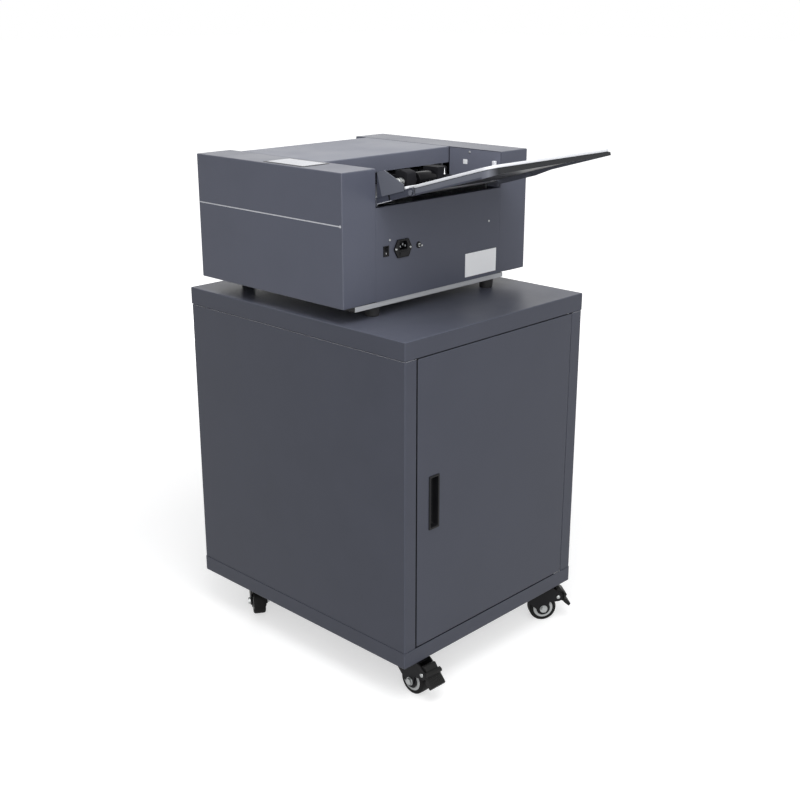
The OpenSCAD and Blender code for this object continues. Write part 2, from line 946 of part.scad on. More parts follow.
// Switch housing: bezel on the panel and a body behind it
module switch_housing() {
    color("#17181a")
        in_machine()
            translate([switch_x, 0, port_h])
                difference() {
                    union() {
                        span([-7.5, -bezel_t, -10.5], [7.5, 0, 10.5]);
                        span([-switch_half[0], 0, -switch_half[1]], [switch_half[0], 15, switch_half[1]]);
                    }
                    span([-4.5 - pass_c, -bezel_t - over, -8.6], [4.5 + pass_c, 10, 8.6]);
                    rod(-switch_half[0] - over, switch_half[0] + over, rocker_v, 0, rocker_pin + run_c);
                }
}

// Rocker on its pivot pin, at rest with its lower end pressed in
module switch_rocker() {
    color("#26282b")
        in_machine()
            translate([switch_x, rocker_v, port_h]) {
                rotate([8, 0, 0])
                    along_x(-4.5, 4.5)
                        polygon([[-6, -7.6], [-4.6, 0], [-6, 7.6], [2, 7.6], [2, -7.6]]);
                rod(-switch_half[0], switch_half[0], 0, 0, rocker_pin);
            }
}

// Earth stud through the front panel, held by a nut on each side
module earth_stud() {
    nut_t = 3;
    color("silver")
        in_machine()
            translate([earth_x, 0, port_h])
                rotate([-90, 0, 0]) {
                    translate([0, 0, -10])
                        cylinder(h = 17, r = stud_r);
                    for (y = [-nut_t, cover_t])
                        translate([0, 0, y])
                            cylinder(h = nut_t, r = 2 * stud_r, $fn = 6);
                }
}

// Blank rating plate on the front panel
module rating_plate() {
    at_x = notch_x - 10 - rating_w;
    at_w = 8;
    color("whitesmoke")
        in_machine()
            span([at_x, -0.5, at_w], [at_x + rating_w, 0, at_w + rating_h]);
}

// Small pan-head screws of the panels, the notch's walls and the inlet
module cover_screws() {
    color("silver")
        in_machine() {
            for (x = [switch_x + 11, -switch_x - 8])
                translate([x, 0, port_h + 20.5])
                    rotate([90, 0, 0])
                        cylinder(h = screw_t, r = screw_r);
            for (s = [0, 1])
                mirror([s, 0, 0])
                    rod(notch_x - screw_t, notch_x, 88, mach_h - 8, screw_r);
            for (x = [-inlet_pitch, inlet_pitch])
                translate([inlet_x + x, -inlet_rim, port_h])
                    rotate([90, 0, 0])
                        cylinder(h = screw_t, r = screw_r);
            for (x = [37 - notch_x, notch_x - 37], w = [20, rear_h - 30])
                translate([x, mach_d, w])
                    rotate([-90, 0, 0])
                        cylinder(h = screw_t, r = screw_r);
        }
}

// Swinging arm of the pick-up roller: two cheeks on the upper feed shaft, a bridge and a gear housing
module pickup_arm() {
    near_r = 8;
    far_r = 9;
    bridge_v = pick_v + pick_r + 8;
    color("#1f2123")
        in_machine()
            difference() {
                union() {
                    for (x = [-cheek_x - cheek_t, cheek_x])
                        along_x(x, x + cheek_t) {
                            polygon([
                                [pick_v, pick_w - near_r], [feed_v, roll_high - far_r],
                                [feed_v, roll_high + far_r], [pick_v, pick_w + near_r]
                            ]);
                            translate([pick_v, pick_w])
                                circle(r = near_r);
                            translate([feed_v, roll_high])
                                circle(r = far_r);
                        }
                    span([-cheek_x - 1, bridge_v, pick_w - 3], [cheek_x + 1, bridge_v + 22, pick_w + 1]);
                    span([cheek_x + 1, pick_v - 14, pick_w - 14], [cheek_x + 28, pick_v + 26, pick_w + 21]);
                }
                rod(-cheek_x - cheek_t - over, cheek_x + 20, pick_v, pick_w, pick_shaft_r + run_c);
                rod(-cheek_x - cheek_t - over, cheek_x + cheek_t + over, feed_v, roll_high, shaft_r + run_c);
            }
}

// Pick-up roller with its shaft and bright end knob
module pickup_roller() {
    knob_x = pick_l / 2 + 52;
    knob_l = 16;
    color("#161719")
        in_machine() {
            rod(-knob_x, cheek_x + 19, pick_v, pick_w, pick_shaft_r);
            rod(-pick_l / 2, pick_l / 2, pick_v, pick_w, pick_r);
            rod(-knob_x, knob_l - knob_x, pick_v, pick_w, 2 * pick_shaft_r);
        }
}

// Upper feed roller: a shaft with four rubber sleeves
module feed_roller_upper() {
    outer = frame_x - 22;
    inner = cheek_x + cheek_t + 24;
    sleeve_gap = 5;
    sleeve_l = (outer - inner - sleeve_gap) / 2;
    color("#2a2c2f")
        in_machine() {
            rod(pass_c - frame_out, frame_out - pass_c, feed_v, roll_high, shaft_r);
            for (x = [-outer, -inner - sleeve_l, inner, outer - sleeve_l])
                rod(x, x + sleeve_l, feed_v, roll_high, roller_r);
        }
}

// Lower feed roller, turned by the motor at its left end and carrying the belt's first pulley
module feed_roller_lower() {
    color("#2a2c2f")
        in_machine() {
            rod(-frame_out - 10, belt_x + belt_w, feed_v, roll_low, shaft_r);
            rod(-roll_half, roll_half, feed_v, roll_low, roller_r);
            rod(belt_x, belt_x + belt_w, feed_v, roll_low, pulley_r);
        }
}

// Outline of a spur gear with straight-sided teeth
function gear_points(teeth, pitch_r) = [
    for (i = [0:teeth - 1], p = [[-0.3, -1.8], [-0.13, 1.3], [0.13, 1.3], [0.3, -1.8]])
        let (a = (i + p[0]) * 360 / teeth)
            (pitch_r + p[1]) * [cos(a), sin(a)]
];

// Slitter shaft with discs from x0 on, and its gear turned by phase
module slitter(w, x0, phase) {
    rod(-frame_out - 2, gear_x + gear_w, slit_v, w, slit_shaft_r);
    for (k = [-1, -1 / 3, 1 / 3, 1])
        rod(k * disc_x + x0, k * disc_x + x0 + disc_t, slit_v, w, disc_r);
    along_x(gear_x, gear_x + gear_w)
        translate([slit_v, w])
            rotate(phase)
                polygon(gear_points(gear_teeth, slit_gap / 2));
}

// Upper slitter shaft
module slitter_upper() {
    color("lightsteelblue")
        in_machine()
            slitter(slit_high, disc_t + pass_c, 180 / gear_teeth);
}

// Lower slitter shaft, with the belt's second pulley
module slitter_lower() {
    color("lightsteelblue")
        in_machine() {
            slitter(slit_low, 0, 0);
            rod(gear_x, belt_x + belt_w, slit_v, slit_low, slit_shaft_r);
            rod(belt_x, belt_x + belt_w, slit_v, slit_low, pulley_r + roll_low - slit_low);
        }
}

// Fixed knife: bed between the frames, its blade, and guide lugs for the moving knife's columns
module fixed_knife() {
    color("lightsteelblue")
        in_machine()
            difference() {
                union() {
                    span([-frame_x, knife_v - 18, path_h - 45], [frame_x, knife_v, path_h - 4]);
                    span([-frame_x, knife_v - 4, path_h - 22], [frame_x, knife_v, path_h - 0.5]);
                    for (s = [0, 1])
                        mirror([s, 0, 0])
                            span([frame_x - 14, knife_v - 4, lug_low],
                                 [frame_x, knife_v + 18, lug_low + lug_h]);
                }
                for (x = [-knife_rod_x, knife_rod_x])
                    translate([x, knife_rod_v, lug_low - over])
                        cylinder(h = lug_h + 2 * over, r = knife_rod_r + run_c);
            }
}

// Moving knife: beam, blade and the two guide columns
module knife_beam() {
    half = frame_x - 1;
    beam_w = path_h + knife_stroke;
    column_low = lug_low - 10;
    color("lightsteelblue")
        in_machine() {
            span([-half, knife_v + pass_c, beam_w], [half, knife_v + 16, beam_w + 20]);
            span([-half + 10, knife_v + pass_c, path_h + 3], [half - 10, knife_v + 4, beam_w + 2]);
            for (x = [-knife_rod_x, knife_rod_x])
                translate([x, knife_rod_v, column_low])
                    cylinder(h = beam_w + 2 - column_low, r = knife_rod_r);
        }
}

// Exit roller, with the belt's third pulley
module exit_roller() {
    color("#2a2c2f")
        in_machine() {
            rod(-frame_out - 2, belt_x + belt_w, exit_v, roll_low, shaft_r);
            rod(-roll_half, roll_half, exit_v, roll_low, roller_r);
            rod(belt_x, belt_x + belt_w, exit_v, roll_low, pulley_r);
        }
}

// Stepper motor on the left frame, in line with the lower feed roller
module drive_motor() {
    long = 40;
    half = motor_side / 2;
    color("#2b2d30")
        in_machine()
            difference() {
                span([-frame_out - long, feed_v - half, roll_low - half],
                     [-frame_out, feed_v + half, roll_low + half]);
                rod(-frame_out - 12, -frame_out + over, feed_v, roll_low, shaft_r + run_c);
            }
}

// Loop around the three pulleys, at a distance from their rims
module belt_loop(d) {
    hull() {
        translate([feed_v, roll_low])
            circle(r = pulley_r + d);
        translate([slit_v, slit_low])
            circle(r = pulley_r + roll_low - slit_low + d);
        translate([exit_v, roll_low])
            circle(r = pulley_r + d);
    }
}

// Drive belt on the right-hand side
module drive_belt() {
    belt_t = 1.5;
    edge = 0.5;
    color("#141516")
        in_machine()
            along_x(belt_x + edge, belt_x + belt_w - edge)
                difference() {
                    belt_loop(pass_c + belt_t);
                    belt_loop(pass_c);
                }
}

// Power supply in the right-hand bay, on the base plate
module power_supply() {
    near = feed_v;
    long = mach_d - 80 - near;
    high = 45;
    color("#8d9095")
        in_machine()
            span([frame_out + 6, near, 0], [base_x - 4, near + long, high]);
}

caster_plates();
caster_fork(CASTERS[0]);  // caster_fork_fl
caster_fork(CASTERS[1]);  // caster_fork_fr
caster_fork(CASTERS[2]);  // caster_fork_bl
caster_fork(CASTERS[3]);  // caster_fork_br
caster_axle(CASTERS[0]);  // caster_axle_fl
caster_axle(CASTERS[1]);  // caster_axle_fr
caster_axle(CASTERS[2]);  // caster_axle_bl
caster_axle(CASTERS[3]);  // caster_axle_br
caster_hub(CASTERS[0]);  // caster_hub_fl
caster_hub(CASTERS[1]);  // caster_hub_fr
caster_hub(CASTERS[2]);  // caster_hub_bl
caster_hub(CASTERS[3]);  // caster_hub_br
caster_tyre(CASTERS[0]);  // caster_tyre_fl
caster_tyre(CASTERS[1]);  // caster_tyre_fr
caster_tyre(CASTERS[2]);  // caster_tyre_bl
caster_tyre(CASTERS[3]);  // caster_tyre_br
brake_pedal(CASTERS[0]);  // brake_pedal_fl
brake_pedal(CASTERS[1]);  // brake_pedal_fr
cabinet_base();
cabinet_shell();
cabinet_top();
cabinet_door();
door_pull();
door_pins();
machine_feet();
base_plate();
frame_left();
frame_right();
tie_bars();
left_cover();
right_cover();
front_panel();
back_panel();
top_cover();
feed_table();
tray_bracket();
feed_tray();
tray_bed();
side_guide();
touch_screen();
power_inlet();
fuse_drawer();
switch_housing();
switch_rocker();
earth_stud();
rating_plate();
cover_screws();
pickup_arm();
pickup_roller();
feed_roller_upper();
feed_roller_lower();
slitter_upper();
slitter_lower();
fixed_knife();
knife_beam();
exit_roller();
drive_motor();
drive_belt();
power_supply();
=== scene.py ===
import math

import bmesh
import bpy
import numpy as np
from mathutils import Matrix


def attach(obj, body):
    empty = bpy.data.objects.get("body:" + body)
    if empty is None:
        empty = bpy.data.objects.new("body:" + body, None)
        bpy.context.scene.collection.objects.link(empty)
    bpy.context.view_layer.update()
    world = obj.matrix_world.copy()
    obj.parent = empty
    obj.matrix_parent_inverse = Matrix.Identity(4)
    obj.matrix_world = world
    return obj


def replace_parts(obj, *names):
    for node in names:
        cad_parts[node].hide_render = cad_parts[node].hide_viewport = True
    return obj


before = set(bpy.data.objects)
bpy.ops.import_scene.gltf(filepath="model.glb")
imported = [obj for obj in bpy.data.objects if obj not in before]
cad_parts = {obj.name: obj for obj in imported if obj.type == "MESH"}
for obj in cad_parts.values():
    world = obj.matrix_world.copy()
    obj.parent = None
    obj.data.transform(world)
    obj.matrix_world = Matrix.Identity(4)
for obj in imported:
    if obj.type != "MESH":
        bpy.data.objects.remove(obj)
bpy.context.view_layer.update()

# Caster plates: pressed steel squares with a raised ball race, bolted through the cabinet's base pan.
# The steel is lacquered black, and the nuts and washers of the four bolts are zinc plated.
MM = 0.001
# Each caster's place on the floor, x and y, and the heading of its trail in degrees
SWIVELS = {"fl": (-208, -278, 268), "fr": (208, -278, 323), "bl": (-208, 219, 236), "br": (208, 219, 250)}
BOLT_OUT = 25
WASHER_LOW, NUT_LOW = 86, 82.8
UP = (0, 0, 1)
MERGE_DISTANCE = 2e-6


def skin(name, parts, coat, smooth=None):
    """One mesh over several nets of points in millimetres. A net is an array [row, column, xyz]: every cell
    between neighbouring rows and columns is a face, the columns close on themselves, and the first and last
    rows are closed by a flat face, unless they are the same row. Shared points are merged."""
    points, faces, n = [], [], 0
    for net in parts:
        net = np.asarray(net, float)
        rows, cols = net.shape[:2]
        k = np.arange(rows * cols).reshape(rows, cols) + n
        turn = np.roll(k, -1, axis=1)
        faces += np.stack([k[:-1], turn[:-1], turn[1:], k[1:]], -1).reshape(-1, 4).tolist()
        if not np.allclose(net[0], net[-1]):
            faces += [k[0][::-1].tolist(), k[-1].tolist()]
        points.append(net.reshape(-1, 3) * MM)
        n += rows * cols
    mesh = bpy.data.meshes.new(name)
    mesh.from_pydata(np.concatenate(points).tolist(), [], faces)
    bm = bmesh.new()
    bm.from_mesh(mesh)
    bmesh.ops.remove_doubles(bm, verts=bm.verts, dist=MERGE_DISTANCE)
    bmesh.ops.recalc_face_normals(bm, faces=bm.faces)
    bm.to_mesh(mesh)
    bm.free()
    if smooth is not None:
        mesh.polygons.foreach_set("use_smooth", np.ones(len(mesh.polygons), bool))
        mesh.set_sharp_from_angle(angle=math.radians(smooth))
    mesh.materials.append(coat)
    piece = bpy.data.objects.new(name, mesh)
    bpy.context.scene.collection.objects.link(piece)
    return piece


def turned(profile, centre, axis, steps=64):
    """Surface of revolution: a profile point (distance along the axis, distance from it) goes once round the
    axis, at centre + along * axis + away * (cos(a) * e1 + sin(a) * e2)."""
    profile = np.asarray(profile, float)
    axis = np.asarray(axis, float) / np.linalg.norm(axis)
    e1 = np.cross(axis, [0.0, 0.0, 1.0] if abs(axis[2]) < 0.9 else [1.0, 0.0, 0.0])
    e1 /= np.linalg.norm(e1)
    a = np.linspace(0, 2 * np.pi, steps, endpoint=False)
    ring = np.cos(a)[:, None] * e1 + np.sin(a)[:, None] * np.cross(axis, e1)
    return np.asarray(centre, float) + profile[:, None, :1] * axis + profile[:, None, 1:] * ring


def ranged(tree, value, start, end, to=(0.0, 1.0)):
    """Value stretched evenly, so that start to end becomes the range given in to."""
    span = tree.nodes.new("ShaderNodeMapRange")
    span.inputs["From Min"].default_value = start
    span.inputs["From Max"].default_value = end
    span.inputs["To Min"].default_value = to[0]
    span.inputs["To Max"].default_value = to[1]
    tree.links.new(value, span.inputs["Value"])
    return span.outputs["Result"]


def largest(tree, first, others):
    """Largest of several values, taken two at a time."""
    most = first
    for other in others:
        larger = tree.nodes.new("ShaderNodeMath")
        larger.operation = "MAXIMUM"
        tree.links.new(most, larger.inputs[0])
        tree.links.new(other, larger.inputs[1])
        most = larger.outputs["Value"]
    return most


def mixed(tree, mask, colour, other):
    """Colour that gives way to the other one as the mask rises. The mix node's colour sockets are known
    only by their numbers."""
    factor, first, second, result = 0, 6, 7, 2
    mix = tree.nodes.new("ShaderNodeMix")
    mix.data_type = "RGBA"
    mix.inputs[second].default_value = (*other, 1)
    tree.links.new(mask, mix.inputs[factor])
    tree.links.new(colour, mix.inputs[first])
    return mix.outputs[result]


def grain_group():
    """Two noises of the same place: Tone is broad and slow, and Peel is the fine relief of a moulded or
    sprayed skin."""
    group = bpy.data.node_groups.new("skin_grain", "ShaderNodeTree")
    for socket, kind, way in (("Vector", "NodeSocketVector", "INPUT"), ("Fine", "NodeSocketFloat", "INPUT"),
                              ("Broad", "NodeSocketFloat", "INPUT"), ("Tone", "NodeSocketFloat", "OUTPUT"),
                              ("Peel", "NodeSocketFloat", "OUTPUT")):
        group.interface.new_socket(name=socket, in_out=way, socket_type=kind)
    given = group.nodes.new("NodeGroupInput")
    out = group.nodes.new("NodeGroupOutput")
    for scale, detail, socket in (("Broad", 4.0, "Tone"), ("Fine", 2.0, "Peel")):
        noise = group.nodes.new("ShaderNodeTexNoise")
        noise.inputs["Detail"].default_value = detail
        group.links.new(given.outputs["Vector"], noise.inputs["Vector"])
        group.links.new(given.outputs[scale], noise.inputs["Scale"])
        group.links.new(noise.outputs["Fac"], out.inputs[socket])
    return group


def edge_group():
    """Mask of the folds and rounded rims: it rises where the surface faces none of the object's own three
    axes, because the largest part of the normal falls from 1 on a flat face towards 0.7 halfway round a
    bend."""
    flat, bent = 0.99, 0.88
    group = bpy.data.node_groups.new("fold_edge", "ShaderNodeTree")
    group.interface.new_socket(name="Normal", in_out="INPUT", socket_type="NodeSocketVector")
    group.interface.new_socket(name="Mask", in_out="OUTPUT", socket_type="NodeSocketFloat")
    given = group.nodes.new("NodeGroupInput")
    out = group.nodes.new("NodeGroupOutput")
    size = group.nodes.new("ShaderNodeVectorMath")
    size.operation = "ABSOLUTE"
    split = group.nodes.new("ShaderNodeSeparateXYZ")
    group.links.new(given.outputs["Normal"], size.inputs[0])
    group.links.new(size.outputs["Vector"], split.inputs["Vector"])
    most = largest(group, split.outputs["X"], (split.outputs["Y"], split.outputs["Z"]))
    group.links.new(ranged(group, most, flat, bent), out.inputs["Mask"])
    return group


GRAIN, EDGE = grain_group(), edge_group()


def finish(name, dark, light, rough, fine=900.0, broad=9.0, relief=0.00002, stretch=None, wear_and_sheen=None,
           painted_facing=None, **constant):
    """Material whose colour runs from dark to light and whose roughness runs over rough with the broad noise,
    and whose normal follows the fine one. Stretch draws the noises out along an axis, as brushing does. The
    fold colour is paler, partly the wear of handling and partly a painted highlight on the bends. The facing
    colour, with its direction, is painted on what faces that way, as painted light or painted shade."""
    noise_low, noise_high = 0.3, 0.7
    turned_away, turned_to = 0.4, 0.7
    mat = bpy.data.materials.new(name)
    mat.use_nodes = True
    tree = mat.node_tree
    shader = tree.nodes["Principled BSDF"]
    place = tree.nodes.new("ShaderNodeTexCoord")
    grain = tree.nodes.new("ShaderNodeGroup")
    grain.node_tree = GRAIN
    grain.inputs["Fine"].default_value = fine
    grain.inputs["Broad"].default_value = broad
    spot = place.outputs["Object"]
    if stretch is not None:
        mapping = tree.nodes.new("ShaderNodeMapping")
        mapping.inputs["Scale"].default_value = stretch
        tree.links.new(spot, mapping.inputs["Vector"])
        spot = mapping.outputs["Vector"]
    tree.links.new(spot, grain.inputs["Vector"])
    ramp = tree.nodes.new("ShaderNodeValToRGB")
    for stop, where, tint in zip(ramp.color_ramp.elements, (noise_low, noise_high), (dark, light)):
        stop.position = where
        stop.color = (*tint, 1)
    tree.links.new(grain.outputs["Tone"], ramp.inputs["Fac"])
    colour = ramp.outputs["Color"]
    # Paler folds: partly wear, partly a painted highlight on the bends.
    if wear_and_sheen is not None:
        edge = tree.nodes.new("ShaderNodeGroup")
        edge.node_tree = EDGE
        tree.links.new(place.outputs["Normal"], edge.inputs["Normal"])
        colour = mixed(tree, edge.outputs["Mask"], colour, wear_and_sheen)
    # Colour painted by facing, as painted light or painted shade.
    if painted_facing is not None:
        direction, shade = painted_facing
        facing = tree.nodes.new("ShaderNodeVectorMath")
        facing.operation = "DOT_PRODUCT"
        facing.inputs[1].default_value = direction
        tree.links.new(place.outputs["Normal"], facing.inputs[0])
        towards = ranged(tree, facing.outputs["Value"], turned_away, turned_to)
        colour = mixed(tree, towards, colour, shade)
    tree.links.new(colour, shader.inputs["Base Color"])
    roughness = ranged(tree, grain.outputs["Tone"], noise_low, noise_high, rough)
    tree.links.new(roughness, shader.inputs["Roughness"])
    bump = tree.nodes.new("ShaderNodeBump")
    bump.inputs["Strength"].default_value = 0.6
    bump.inputs["Distance"].default_value = relief
    tree.links.new(grain.outputs["Peel"], bump.inputs["Height"])
    tree.links.new(bump.outputs["Normal"], shader.inputs["Normal"])
    for socket, value in constant.items():
        shader.inputs[socket.replace("_", " ")].default_value = value
    return mat


def dress(material, *nodes):
    """Gives CAD nodes a material in place of their plain one."""
    for node in nodes:
        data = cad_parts[node].data
        data.materials.clear()
        data.materials.append(material)


black_lacquer = finish("black_lacquer", (0.007, 0.007, 0.008), (0.011, 0.011, 0.012), (0.34, 0.5), fine=700,
                       Specular_IOR_Level=0.12)
zinc_plate = finish("zinc_plate", (0.30, 0.31, 0.31), (0.44, 0.45, 0.45), (0.25, 0.42), broad=90,
                    Metallic=1.0)
dress(black_lacquer, "caster_plates")

washer = [(0, 0), (0, 6), (1, 6), (1, 0)]
nut = [(0, 0), (0, 4.6), (0.5, 5.2), (3.2, 5.2), (3.2, 0)]
bolt_parts = []
for x, y, _ in SWIVELS.values():
    for dx in (-BOLT_OUT, BOLT_OUT):
        for dy in (-BOLT_OUT, BOLT_OUT):
            bolt_parts.append(turned(washer, (x + dx, y + dy, WASHER_LOW), UP, 24))
            bolt_parts.append(turned(nut, (x + dx, y + dy, NUT_LOW), UP, 6))
caster_bolts = skin("caster_bolts", bolt_parts, zinc_plate)
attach(caster_bolts, "cabinet")

# Caster forks: pressed steel with two legs that slope back to the axle, lacquered black.
# The axle bolt has a washer and a hexagon nut on each side, both zinc plated, and on the front casters
# a domed rivet on each side holds the brake pedal.
PEDAL_PIVOT = (52, 59.5)
RIVET_OUT = 19.5
BRAKED = ("fl", "fr")
dress(black_lacquer, *("caster_fork_" + c for c in SWIVELS))
dress(zinc_plate, *("caster_axle_" + c for c in SWIVELS))


def trail(corner):
    """Caster's place on the floor, and the level directions along and across its trail."""
    x, y, heading = SWIVELS[corner]
    turn = math.radians(heading)
    along = np.array([math.cos(turn), math.sin(turn), 0])
    return np.array([x, y, 0]), along, np.array([-along[1], along[0], 0])


dome = [(0, 0), (0, 4.6), (1, 4.5), (2, 3.4), (2.4, 0)]
for corner in BRAKED:
    place, along, across = trail(corner)
    pivot = place + PEDAL_PIVOT[0] * along + [0, 0, PEDAL_PIVOT[1]]
    domes = [turned(dome, pivot + s * RIVET_OUT * across, s * across, 32) for s in (-1, 1)]
    rivets = skin("brake_rivets_" + corner, domes, zinc_plate, smooth=50)
    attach(rivets, "fork_" + corner)

# Caster wheels: a grey plastic core turned on the axle, with a black rubber tyre moulded round it.
# The tyre has round shoulders and a slightly crowned tread, and the core is dished between rim and hub.
AXLE_BACK, AXLE_HIGH = 18, 31.5
TYRE_HALF, SHOULDER_R = 14, 27
SHOULDER_WIDE, SHOULDER_HIGH = 4.5, 4.3
tyre_rubber = finish("tyre_rubber", (0.005, 0.005, 0.005), (0.010, 0.010, 0.010), (0.5, 0.7), fine=500,
                     relief=0.00006, Specular_IOR_Level=0.12)
core_plastic = finish("core_plastic", (0.40, 0.41, 0.41), (0.47, 0.48, 0.48), (0.4, 0.52), fine=600)
quarter = np.linspace(0, np.pi / 2, 9)
left_shoulder = np.stack([-TYRE_HALF + SHOULDER_WIDE * (1 - np.sin(quarter)),
                          SHOULDER_R + SHOULDER_HIGH * np.sin(np.pi / 2 - quarter)], -1)[::-1]
right_shoulder = np.stack([-left_shoulder[::-1, 0], left_shoulder[::-1, 1]], -1)
tread = np.array([[-8, 31.4], [-4, 31.48], [0, 31.5], [4, 31.48], [8, 31.4]])
tyre_ring = np.concatenate([[(-13.4, 22.7), (-14, 23.3)], left_shoulder, tread, right_shoulder,
                            [(14, 23.3), (13.4, 22.7), (-13.4, 22.7)]])
core_half = [(13.6, 4.2), (13.6, 8), (12.6, 8.6), (12.4, 13.6), (13.6, 14.6), (13.9, 15.6), (13.9, 22.1),
             (13.4, 22.65)]
core_ring = np.array([(-a, r) for a, r in core_half] + [(a, r) for a, r in core_half[::-1]] + [(-13.6, 4.2)])
for corner in SWIVELS:
    place, along, across = trail(corner)
    middle = place + [0, 0, AXLE_HIGH] + AXLE_BACK * along
    tyre = skin("tyre_" + corner, [turned(tyre_ring, middle, across, 96)], tyre_rubber, smooth=35)
    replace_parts(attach(tyre, "wheel_" + corner), "caster_tyre_" + corner)
    core = skin("core_" + corner, [turned(core_ring, middle, across, 96)], core_plastic, smooth=35)
    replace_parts(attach(core, "wheel_" + corner), "caster_hub_" + corner)

# Brake pedals: black nylon levers on the front casters, moulded in one with a broad toe.
# The toe is bent down for the foot, and three ribs across it keep the foot from slipping.
LEVER_HALF, TOE_HALF, RIB_HALF = 15.5, 21, 17
PEDAL_EDGE = 0.9
RIBS_AT = (17.6, 21.4, 25.2)
TOE_START, TOE_FALL = 15.0, 1.07
pedal_nylon = finish("pedal_nylon", (0.007, 0.007, 0.007), (0.012, 0.012, 0.012), (0.32, 0.48), fine=450,
                     relief=0.00005, Specular_IOR_Level=0.15)


def rounded(points, r, steps=5):
    """Closed outline with its corners turned into arcs of radius r. The arc's centre lies on the corner's
    bisector, and its points are the two end directions blended by sines, so that they stay r from it."""
    p = np.asarray(points, float)
    r = np.broadcast_to(np.asarray(r, float), len(p))[:, None]
    u, w = np.roll(p, 1, axis=0) - p, np.roll(p, -1, axis=0) - p
    u, w = u / np.linalg.norm(u, axis=1, keepdims=True), w / np.linalg.norm(w, axis=1, keepdims=True)
    half = np.arccos(np.clip((u * w).sum(1, keepdims=True), -1, 1)) / 2
    centre = p + (u + w) / np.linalg.norm(u + w, axis=1, keepdims=True) * r / np.sin(half)
    d0, d1 = p + u * r / np.tan(half) - centre, p + w * r / np.tan(half) - centre
    t = np.linspace(0, 1, steps)[None, :, None]
    sweep = (np.pi - 2 * half)[:, :, None]
    arc = (np.sin((1 - t) * sweep) * d0[:, None] + np.sin(t * sweep) * d1[:, None]) / np.sin(sweep)
    return (centre[:, None] + arc).reshape(-1, 2)


def inset(loop, d):
    """Outline moved inwards by d: each point goes along the mitre of its two edges' inward normals."""
    e = np.roll(loop, -1, axis=0) - loop
    keep = np.linalg.norm(e, axis=1, keepdims=True)
    n = np.stack([-e[:, 1], e[:, 0]], -1) / np.where(keep > 1e-9, keep, 1)
    before = np.roll(n, 1, axis=0)
    return loop + d * (n + before) / (1 + (n * before).sum(1, keepdims=True))


def stand(loop, h, axis):
    """Outline and height as points: the height is along the axis, the outline lies along the other two."""
    h = np.broadcast_to(np.asarray(h, float), len(loop))
    u, v = loop[:, 0], loop[:, 1]
    columns = {"x": (h, u, v), "y": (u, h, v), "z": (u, v, h)}
    return np.stack(columns[axis], -1)


def slab(outline, a, b, axis, edge=0.4):
    """Outline carried straight from a to b, with its two rims rounded: over a quarter turn t, the outline is
    set in by edge * (1 - sin t) at edge * (1 - cos t) from the end."""
    loop = np.asarray(outline, float)
    turn = np.linspace(0, math.pi / 2, 4)
    ends = [(edge * (1 - math.sin(t)), edge * (1 - math.cos(t))) for t in turn]
    rows = [stand(inset(loop, d), a + h, axis) for d, h in ends]
    rows += [stand(inset(loop, d), b - h, axis) for d, h in ends[::-1]]
    return np.stack(rows)


def in_caster(net, corner):
    """Turns a net from a caster's own frame, x along its trail, to the caster's heading and place."""
    place, along, across = trail(corner)
    return net @ np.stack([along, across, UP]) + place


lever = rounded([(-5, -6), (4, -9), (14, -14), (14, -2), (12, 12), (5, 21), (-3, 19), (-5, 6)],
                [2, 1, 1, 2, 2, 3, 3, 2])
toe = rounded([(13, -13), (26, -25), (30, -18), (15, -2), (20, 4), (19, 8), (12, 12)],
              [1, 2.5, 2.5, 2, 1.5, 1.5, 1])
rib = np.array([(-0.9, -0.6), (0.7, -2.3), (1.4, -1.3), (-0.2, 0.4)])
pedal_parts = [slab(lever + PEDAL_PIVOT, -LEVER_HALF, LEVER_HALF, "y", PEDAL_EDGE),
               slab(toe + PEDAL_PIVOT, -TOE_HALF, TOE_HALF, "y", PEDAL_EDGE)]
for away in RIBS_AT:
    on_toe = rounded(rib + [away, TOE_START - away * TOE_FALL], 0.25, 3)
    pedal_parts.append(slab(on_toe + PEDAL_PIVOT, -RIB_HALF, RIB_HALF, "y", 0.3))
for corner in BRAKED:
    pedal = skin("pedal_" + corner, [in_caster(net, corner) for net in pedal_parts], pedal_nylon, smooth=40)
    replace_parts(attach(pedal, "pedal_" + corner), "brake_pedal_" + corner)

# Base pan of the cabinet: one sheet of steel folded up on four sides, powder coated slate grey.
# The casters are bolted through its floor.
CABINET_X, CABINET_Y = 275, 325
PAN_LOW, PAN_LIP = 90, 35
SHEET, BEND = 1.5, 2.2
# The third slate tone is for the folds: partly wear, partly a painted highlight.
SLATE_DARK, SLATE_PALE, SLATE_WEAR_AND_SHEEN = (0.045, 0.049, 0.067), (0.051, 0.055, 0.074), (0.062, 0.067, 0.088)
slate_coat = finish("slate_coat", SLATE_DARK, SLATE_PALE, (0.36, 0.44), wear_and_sheen=SLATE_WEAR_AND_SHEEN,
                    Specular_IOR_Level=0.2)


def corners(low, high):
    """Four corners of a rectangle, once round from its lowest point."""
    return [(low[0], low[1]), (high[0], low[1]), (high[0], high[1]), (low[0], high[1])]


